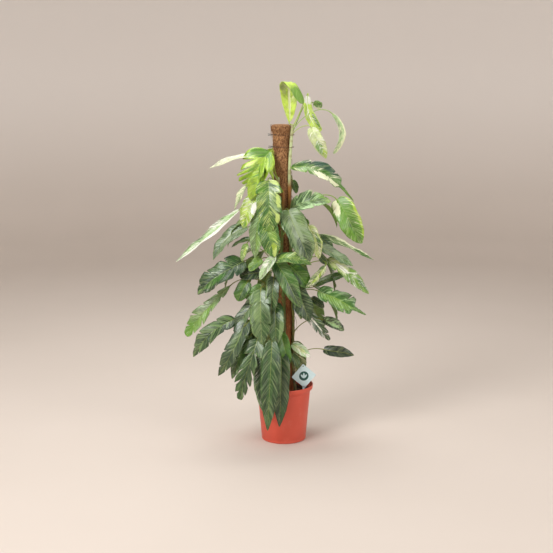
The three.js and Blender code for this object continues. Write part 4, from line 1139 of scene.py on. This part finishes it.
def drained_floor(skin, radius, z, sides):
    """A flat round floor with its ring of drain holes; returns the edges of each hole."""
    verts = ring_of(skin, radius, z, sides)
    rims = []
    for i in range(DRAIN_HOLES):
        angle = 2 * math.pi * (i + 0.5) / DRAIN_HOLES
        middle = (DRAIN_RING * math.cos(angle), DRAIN_RING * math.sin(angle))
        rims.append(ring_of(skin, DRAIN_RADIUS, z, 20, middle))
    edges = edges_between(skin, verts)
    holes = [edges_between(skin, rim) for rim in rims]
    bmesh.ops.triangle_fill(skin, use_beauty=True, edges=edges + [e for hole in holes for e in hole])
    return holes


def spin_profile(skin, profile, sides):
    """Turns a line of (radius, height) once round the upright axis, in metres."""
    verts = [skin.verts.new((r, 0, z)) for r, z in profile]
    edges = [skin.edges.new(pair) for pair in zip(verts, verts[1:])]
    bmesh.ops.spin(
        skin,
        geom=verts + edges,
        cent=(0, 0, 0),
        axis=(0, 0, 1),
        angle=2 * math.pi,
        steps=sides,
        use_merge=True,
        use_duplicate=False,
    )


def pot_mesh(sides=144):
    shoulder = POT_HEIGHT - RIM_BAND
    slope = (BODY_TOP_RADIUS - BASE_RADIUS) / shoulder
    foot = ((-4, 0), (-2.2, 0.3), (-0.8, 1.3), (0.1, 3), (0.5, 5))
    outer = [(BASE_RADIUS + r, z) for r, z in foot]
    for z in (9, 9.8, 11.4, 12.2, 90, 150, 201, 201.8, 203.6, 204.4, shoulder - 1.2):
        sunk = 0.45 if z in (9.8, 11.4, 201.8, 203.6) else 0
        outer.append((BASE_RADIUS + slope * z - sunk, z))
    skirt = ((-3.6, 0), (-2.2, 0.5), (-1.5, 2), (-0.9, 8))
    lip = ((-0.2, -4), (-0.05, -2), (-0.5, -0.6), (-1.2, 0), (-2.1, -0.1), (-2.7, -0.8))
    rim = [(BODY_TOP_RADIUS + 0.4, shoulder - 0.2)]
    rim += [(RIM_RADIUS + r, shoulder + z) for r, z in skirt]
    rim += [(RIM_RADIUS + r, POT_HEIGHT + z) for r, z in lip]
    rim += [(RIM_RADIUS - 4.2, shoulder + 2.6), (RIM_RADIUS - 6, shoulder)]
    rim.append((BODY_TOP_RADIUS - POT_WALL, shoulder - 1))
    inner_floor = BASE_RADIUS + slope * POT_FLOOR - POT_WALL
    profile = outer + rim + [(inner_floor + 1, POT_FLOOR + 3), (inner_floor - 1, POT_FLOOR)]
    skin = bmesh.new()
    spin_profile(skin, [(r * MM, z * MM) for r, z in profile], sides)
    under = drained_floor(skin, profile[0][0], 0, sides)
    above = drained_floor(skin, profile[-1][0], POT_FLOOR, sides)
    for low, high in zip(under, above):
        bmesh.ops.bridge_loops(skin, edges=low + high)
    bmesh.ops.remove_doubles(skin, verts=skin.verts, dist=2e-5)
    bmesh.ops.recalc_face_normals(skin, faces=skin.faces)
    return mesh_from(skin, "pot_skin", 40)


def mesh_from(skin, name, crease=None):
    """Closes a bmesh into a mesh, smooth except where faces meet more sharply than the crease."""
    made = bpy.data.meshes.new(name)
    skin.to_mesh(made)
    skin.free()
    made.shade_smooth()
    if crease:
        made.set_sharp_from_angle(angle=math.radians(crease))
    return made


# Soil


def soil_level(x, y):
    return 1.6 * np.sin(x * 0.071 + 1) * np.cos(y * 0.063) + 1.2 * np.sin(x * 0.13 + y * 0.11)


def lumps(x, y, size, seed):
    flat = [noise.noise(Vector((a / size, b / size, seed))) for a, b in zip(x.ravel(), y.ravel())]
    return np.array(flat).reshape(x.shape)


def soil_top(x, y):
    reach = np.hypot(x, y)
    level = SOIL_LEVEL + np.interp(reach, (0, 42, 66, 90, 104), (1, 1, 0, -1, -3))
    return level + np.where(reach > 30, soil_level(x, y), 0) * np.interp(reach, (95, 104), (1, 0))


def soil_mesh():
    """The filled soil as one closed round body with a crumbly top."""
    low = POT_FLOOR + 0.3
    slope = (BODY_TOP_RADIUS - BASE_RADIUS) / (POT_HEIGHT - RIM_BAND)
    brink = SOIL_LEVEL - 3

    def wall(z):
        return BASE_RADIUS + slope * z - POT_WALL - 0.3

    sides = 150
    turn = full_turn(sides)
    radii = [0, wall(low), wall(brink)] + list(np.linspace(wall(brink), 0, 62)[1:])
    heights = [low, low, brink] + [None] * 61
    rings = []
    for radius, height in zip(radii, heights):
        x, y = radius * np.cos(turn), radius * np.sin(turn)
        if height is None:
            crumb = 2.6 * lumps(x, y, 9, 1) + 1.7 * lumps(x, y, 3.6, 5)
            z = soil_top(x, y) + crumb * np.interp(radius, (96, 103), (1, 0.3))
        else:
            z = np.full_like(x, height)
        rings.append(np.stack([x, y, z], axis=-1))
    grids = Grids()
    grids.add(np.array(rings))
    return grids.mesh("soil_bed", True)


def crumbs_mesh(name, count, seed, least, most, flatness):
    """Small angular pieces lying in the top of the soil, clear of the pole."""
    draw = draws_from(seed)
    pieces = bmesh.new()
    done = 0
    while done < count:
        reach, turn = 100 * math.sqrt(draw()), 2 * math.pi * draw()
        x, y = reach * math.cos(turn), reach * math.sin(turn)
        if math.hypot(x - 9, y) < SLEEVE_RADIUS + 4:
            continue
        size = mix(least, most, draw() ** 2)
        made = bmesh.ops.create_icosphere(pieces, subdivisions=1, radius=size * MM)["verts"]
        spin, tilt = 2 * math.pi * draw(), mix(-0.5, 0.5, draw())
        long = mix(1.0, 1.7, draw())
        z = float(soil_top(np.array(x), np.array(y))) + size * 0.15
        for vert in made:
            rough = 1 + 0.35 * noise.noise(vert.co * 900 + Vector((done, 0, 0)))
            a = vert.co.x * long * rough
            b = vert.co.y * rough
            c = vert.co.z * flatness * rough + a * tilt * 0.4
            vert.co = Vector(
                (
                    a * math.cos(spin) - b * math.sin(spin) + x * MM,
                    a * math.sin(spin) + b * math.cos(spin) + y * MM,
                    c + z * MM,
                )
            )
        done += 1
    made = bpy.data.meshes.new(name)
    pieces.to_mesh(made)
    pieces.free()
    return made


# Pole


def sleeve_profile(step=5.0):
    shoulder = SLEEVE_TOP - CAP_HEIGHT
    heights = list(np.arange(SLEEVE_BOTTOM, shoulder - 4, step))
    profile = [(CORE_BORE, CORE_BORE_TOP), (CORE_BORE, SLEEVE_BOTTOM)] + [(SLEEVE_RADIUS, z) for z in heights]
    profile += [(SLEEVE_RADIUS, shoulder - 6), (SLEEVE_RADIUS + 1.2, shoulder - 2)]
    swelling = ((-1.6, 2), (0, 8), (0.3, 14))
    profile += [(CAP_RADIUS + r, shoulder + z) for r, z in swelling]
    crown = ((-0.6, -9), (-3, -4), (-7, -1), (-12, 0), (-16, -2))
    profile += [(CAP_RADIUS + r, SLEEVE_TOP + z) for r, z in crown]
    profile += [(r, SLEEVE_TOP + z) for r, z in ((16, -6), (11, -9), (5, -9), (0, -8))]
    return profile


def sleeve_mesh():
    sides = 120
    turn = full_turn(sides)
    rings = [np.tile([float(pole_middle(1240)), 0, CORE_BORE_TOP], (sides + 1, 1))]
    for radius, z in sleeve_profile():
        inner = radius <= CORE_BORE and z < CORE_BORE_TOP + 9.7
        swell = 0.5 * np.sin(3 * turn + z * 0.021) + 0.4 * np.sin(5 * turn - z * 0.034)
        bumps = [noise.noise(Vector((3.4 * math.cos(a), 3.4 * math.sin(a), z / 9))) for a in turn]
        fuzz = [noise.noise(Vector((14 * math.cos(a), 14 * math.sin(a), z / 3.2))) for a in turn]
        reach = radius + (0 if inner else swell + 1.1 * np.array(bumps) + 0.7 * np.array(fuzz))
        reach = reach * (radius > 0)
        x = pole_middle(z) + reach * np.cos(turn)
        rings.append(np.stack([x, reach * np.sin(turn), np.full_like(turn, z)], axis=-1))
    grids = Grids()
    grids.add(np.array(rings))
    return grids.mesh("coir_wrap", True)


def fibres_mesh(count=2600):
    """Loose strands of coir lying round the sleeve, with their ends lifted a little."""
    draw = draws_from(404)
    grids = Grids()
    for i in range(count):
        high = i % 5 == 0
        shoulder = SLEEVE_TOP - CAP_HEIGHT
        low, top = (shoulder - 4, SLEEVE_TOP - 2) if high else (212, shoulder)
        z = mix(low, top, draw())
        radius = (CAP_RADIUS if high else SLEEVE_RADIUS) + 0.3
        turn = 2 * math.pi * draw()
        way = mix(-1.2, 1.2, draw())
        length = mix(12, 34, draw())
        lift = mix(0.6, 3.4, draw() ** 2)
        bend = mix(-0.5, 0.5, draw())
        t = np.linspace(0, 1, 4)
        heading = way + bend * t
        angle = turn + np.cumsum(np.cos(heading)) * length / 4 / radius
        rise = z + np.cumsum(np.sin(heading)) * length / 4
        rise = np.minimum(rise, SLEEVE_TOP - 1)
        off = radius + lift * np.abs(2 * t - 1) ** 2 + mix(-0.2, 0.5, draw())
        path = np.stack([pole_middle(rise) + off * np.cos(angle), off * np.sin(angle), rise], axis=-1)
        thick = mix(0.16, 0.34, draw())
        grids.add(tube(path, thick * np.array([0.8, 1, 1, 0.5]), 3, closed=False))
    return grids.mesh("coir_strands", True)


def tie_mesh(name, height):
    """A wire once round the pole and the right-hand stem, its two ends twisted together at the left."""
    stem = on_stem("right", height)
    middle = float(pole_middle(height))
    stem_turn = math.atan2(stem[1], stem[0] - middle)
    stem_reach = math.hypot(stem[0] - middle, stem[1])
    snug = SLEEVE_RADIUS + 1 + WIRE_RADIUS + 0.3

    def round_at(turn):
        off = abs((turn - stem_turn + math.pi) % (2 * math.pi) - math.pi)
        return max(snug, max(math.cos(off), 0) * (stem_reach + STEM_RADIUS + WIRE_RADIUS + 0.8))

    tail = snug + 16
    corners = [(middle - tail, -2.2, height + 3)]
    for i in range(21):
        turn = math.pi + math.radians(4) + (2 * math.pi - math.radians(8)) * i / 20
        reach = round_at(turn)
        corners.append((middle + reach * math.cos(turn), reach * math.sin(turn), height + 1.5 - 3 * i / 20))
    corners.append((middle - tail, 2.2, height - 3))
    path = rounded_way(corners, 110)
    grids = Grids()
    grids.add(tube(path, np.full(len(path), WIRE_RADIUS * 0.95), 10))
    return grids.mesh(name, True)


# Label


def turned_card(skin):
    """Stands the flat label up on its corner by the rim and turns it as the part's is turned."""
    for vert in skin.verts:
        x, z, y = vert.co
        across = x * math.cos(LABEL_TURN) + y * math.sin(LABEL_TURN)
        deep = x * math.sin(LABEL_TURN) - y * math.cos(LABEL_TURN)
        vert.co = Vector((across + LABEL_FOOT[0] * MM, deep + LABEL_FOOT[1] * MM, z))


def card_outline(skin):
    half = LABEL_SIDE / 2
    signs = ((1, 1), (-1, 1), (-1, -1), (1, -1))
    corners = [skin.verts.new((x * half * MM, y * half * MM, 0)) for x, y in signs]
    face = skin.faces.new(corners)
    bmesh.ops.bevel(
        skin,
        geom=corners,
        offset=CARD_ROUNDING * MM,
        offset_type="OFFSET",
        affect="VERTICES",
        segments=7,
        profile=0.5,
        material=-1,
    )
    return face


def label_mesh():
    """A rounded square card on its corner with a small hole at the top, drawn out into a pointed stake."""
    half = LABEL_SIDE / 2
    skin = bmesh.new()
    card_outline(skin)
    bmesh.ops.delete(skin, geom=skin.faces[:], context="FACES_ONLY")
    ring_of(skin, 2.6, 0, 24, (half - 7, half - 7))
    bmesh.ops.triangle_fill(skin, use_beauty=True, edges=skin.edges[:])
    thicken(skin, LABEL_THICKNESS)
    turn = math.radians(49)
    for vert in skin.verts:
        x, y, z = vert.co
        vert.co = Vector(
            (
                x * math.cos(turn) - y * math.sin(turn) + 1 * MM,
                x * math.sin(turn) + y * math.cos(turn) + LABEL_MIDDLE * MM,
                z,
            )
        )
    stake = bmesh.new()
    outline = ((-4, LABEL_CORNER + 8), (-4, 150), (0, 138), (4, 150), (4, LABEL_CORNER + 8))
    stake.faces.new([stake.verts.new((x * MM, y * MM, 0)) for x, y in outline])
    thicken(stake, LABEL_THICKNESS)
    joined = bpy.data.meshes.new("stake")
    stake.to_mesh(joined)
    stake.free()
    skin.from_mesh(joined)
    bpy.data.meshes.remove(joined)
    turned_card(skin)
    bmesh.ops.recalc_face_normals(skin, faces=skin.faces)
    return mesh_from(skin, "label_card", 30)


def thicken(skin, depth):
    """Gives a flat outline its thickness, half to each side."""
    faces = skin.faces[:]
    made = bmesh.ops.extrude_face_region(skin, geom=faces, use_keep_orig=True)
    moved = [item for item in made["geom"] if isinstance(item, bmesh.types.BMVert)]
    bmesh.ops.translate(skin, verts=moved, vec=(0, 0, depth * MM))
    bmesh.ops.translate(skin, verts=skin.verts, vec=(0, 0, -depth / 2 * MM))
    bmesh.ops.recalc_face_normals(skin, faces=skin.faces)


def leaf_print_mesh():
    """A plain sign of three leaves in a dark round, printed on the middle of the card."""
    skin = bmesh.new()
    disc = ring_of(skin, 19.5, 0, 56)
    skin.faces.new(disc)
    for turn in (-38, 0, 38):
        made = bmesh.ops.create_grid(skin, x_segments=8, y_segments=12, size=1.0)["verts"]
        for vert in made:
            along = (vert.co.y + 1) / 2
            wide = 3.8 * math.sin(math.pi * along) ** 0.8 * vert.co.x
            x, y = wide, mix(-9.5, 13.5 if turn == 0 else 11, along)
            vert.co.z += 0.12 * MM
            angle = math.radians(turn)
            pivot = -9.5
            vert.co.x = (x * math.cos(angle) - (y - pivot) * math.sin(angle)) * MM
            vert.co.y = (x * math.sin(angle) + (y - pivot) * math.cos(angle) + pivot) * MM
    bmesh.ops.remove_doubles(skin, verts=skin.verts, dist=1e-6)
    for face in skin.faces:
        face.material_index = 1 if len(face.verts) < 5 else 0
    for vert in skin.verts:
        vert.co += Vector((1 * MM, LABEL_MIDDLE * MM, 0))
    bmesh.ops.translate(skin, verts=skin.verts, vec=(0, 0, 0.66 * MM))
    turned_card(skin)
    bmesh.ops.recalc_face_normals(skin, faces=skin.faces)
    return mesh_from(skin, "label_print")


# Studio


def studio():
    """A plain round room, open above: a pale floor that curves up into a pale wall."""
    skin = bmesh.new()
    profile = [(0, 0), (2.6, 0), (4.4, 0), (5.1, 0.08), (5.5, 0.4), (5.7, 0.9), (5.8, 1.6), (5.8, 4.4)]
    spin_profile(skin, profile, 64)
    bmesh.ops.remove_doubles(skin, verts=skin.verts, dist=1e-5)
    bmesh.ops.recalc_face_normals(skin, faces=skin.faces)
    bmesh.ops.reverse_faces(skin, faces=skin.faces)
    floor = bpy.data.objects.new("studio_floor", mesh_from(skin, "studio_floor"))
    bpy.context.scene.collection.objects.link(floor)
    floor.data.materials.append(floor_paint())


def soft_light(name, place_at, aim, size, power, colour=(1, 1, 1)):
    lamp = bpy.data.lights.new(name, "AREA")
    lamp.size, lamp.energy, lamp.color = size, power, colour
    made = bpy.data.objects.new(name, lamp)
    made.location = place_at
    made.rotation_euler = (Vector(aim) - Vector(place_at)).to_track_quat("-Z", "Y").to_euler()
    bpy.context.scene.collection.objects.link(made)


def light_and_camera():
    middle = (0, 0, 0.8)
    soft_light("key", (-2.3, -2.9, 3.4), middle, 1.6, 138)
    soft_light("fill", (3.1, -2.4, 2.2), middle, 2.2, 46)
    soft_light("over", (-0.3, 0.8, 3.6), middle, 1.8, 60)
    world = bpy.data.worlds.new("studio")
    world.use_nodes = True
    world.node_tree.nodes["Background"].inputs["Color"].default_value = (1, 0.98, 0.95, 1)
    world.node_tree.nodes["Background"].inputs["Strength"].default_value = 0.34
    bpy.context.scene.world = world
    bpy.context.scene.view_settings.view_transform = "Standard"
    view = bpy.data.cameras.new("camera")
    view.lens, view.sensor_width, view.clip_end = LENS, FRAME_WIDTH, 60
    camera = bpy.data.objects.new("camera", view)
    camera.location = [place_at * MM for place_at in VIEWING_POINT]
    camera.rotation_euler = (math.radians(90 - PITCH_DOWN), 0, 0)
    bpy.context.scene.collection.objects.link(camera)
    bpy.context.scene.camera = camera


# The plant

dress_vines()
place("pot_skin", pot_mesh(), [pot_paint()], "pot", "pot")
earth = soil_paint("soil_earth", tint("1b100b"), tint("3a281c"))
place("soil_bed", soil_mesh(), [earth], "soil", "soil")
bark = soil_paint("soil_bark", tint("3a2417"), tint("6a4a30"))
place("soil_chips", crumbs_mesh("soil_chips", 260, 9, 1.6, 5.5, 0.5), [bark], "soil")
grit = soil_paint("soil_grit", tint("b9b0a2"), tint("e4ded2"))
place("soil_grains", crumbs_mesh("soil_grains", 70, 21, 0.8, 2.0, 0.9), [grit], "soil")
sleeve = coir_paint("coir_felt", tint("b0845a"), tint("5c3822"))
strands = coir_paint("coir_strand", tint("c89a6a"), tint("74482a"))
place("coir_wrap", sleeve_mesh(), [sleeve], "coir", "coir_sleeve")
place("coir_strands", fibres_mesh(), [strands], "coir", "coir_sleeve")
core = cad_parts["pole_core"]
core.data.materials.clear()
core.data.materials.append(core_paint())
wire = wire_paint()
place("wire_upper", tie_mesh("wire_upper", 1250), [wire], "wire", "tie_upper")
place("wire_lower", tie_mesh("wire_lower", 1202), [wire], "wire", "tie_lower")
card = card_paint()
place("label_card", label_mesh(), [card], "label", "plant_label")
place("label_print", leaf_print_mesh(), [print_paint(), card], "label", "plant_label")
studio()
light_and_camera()
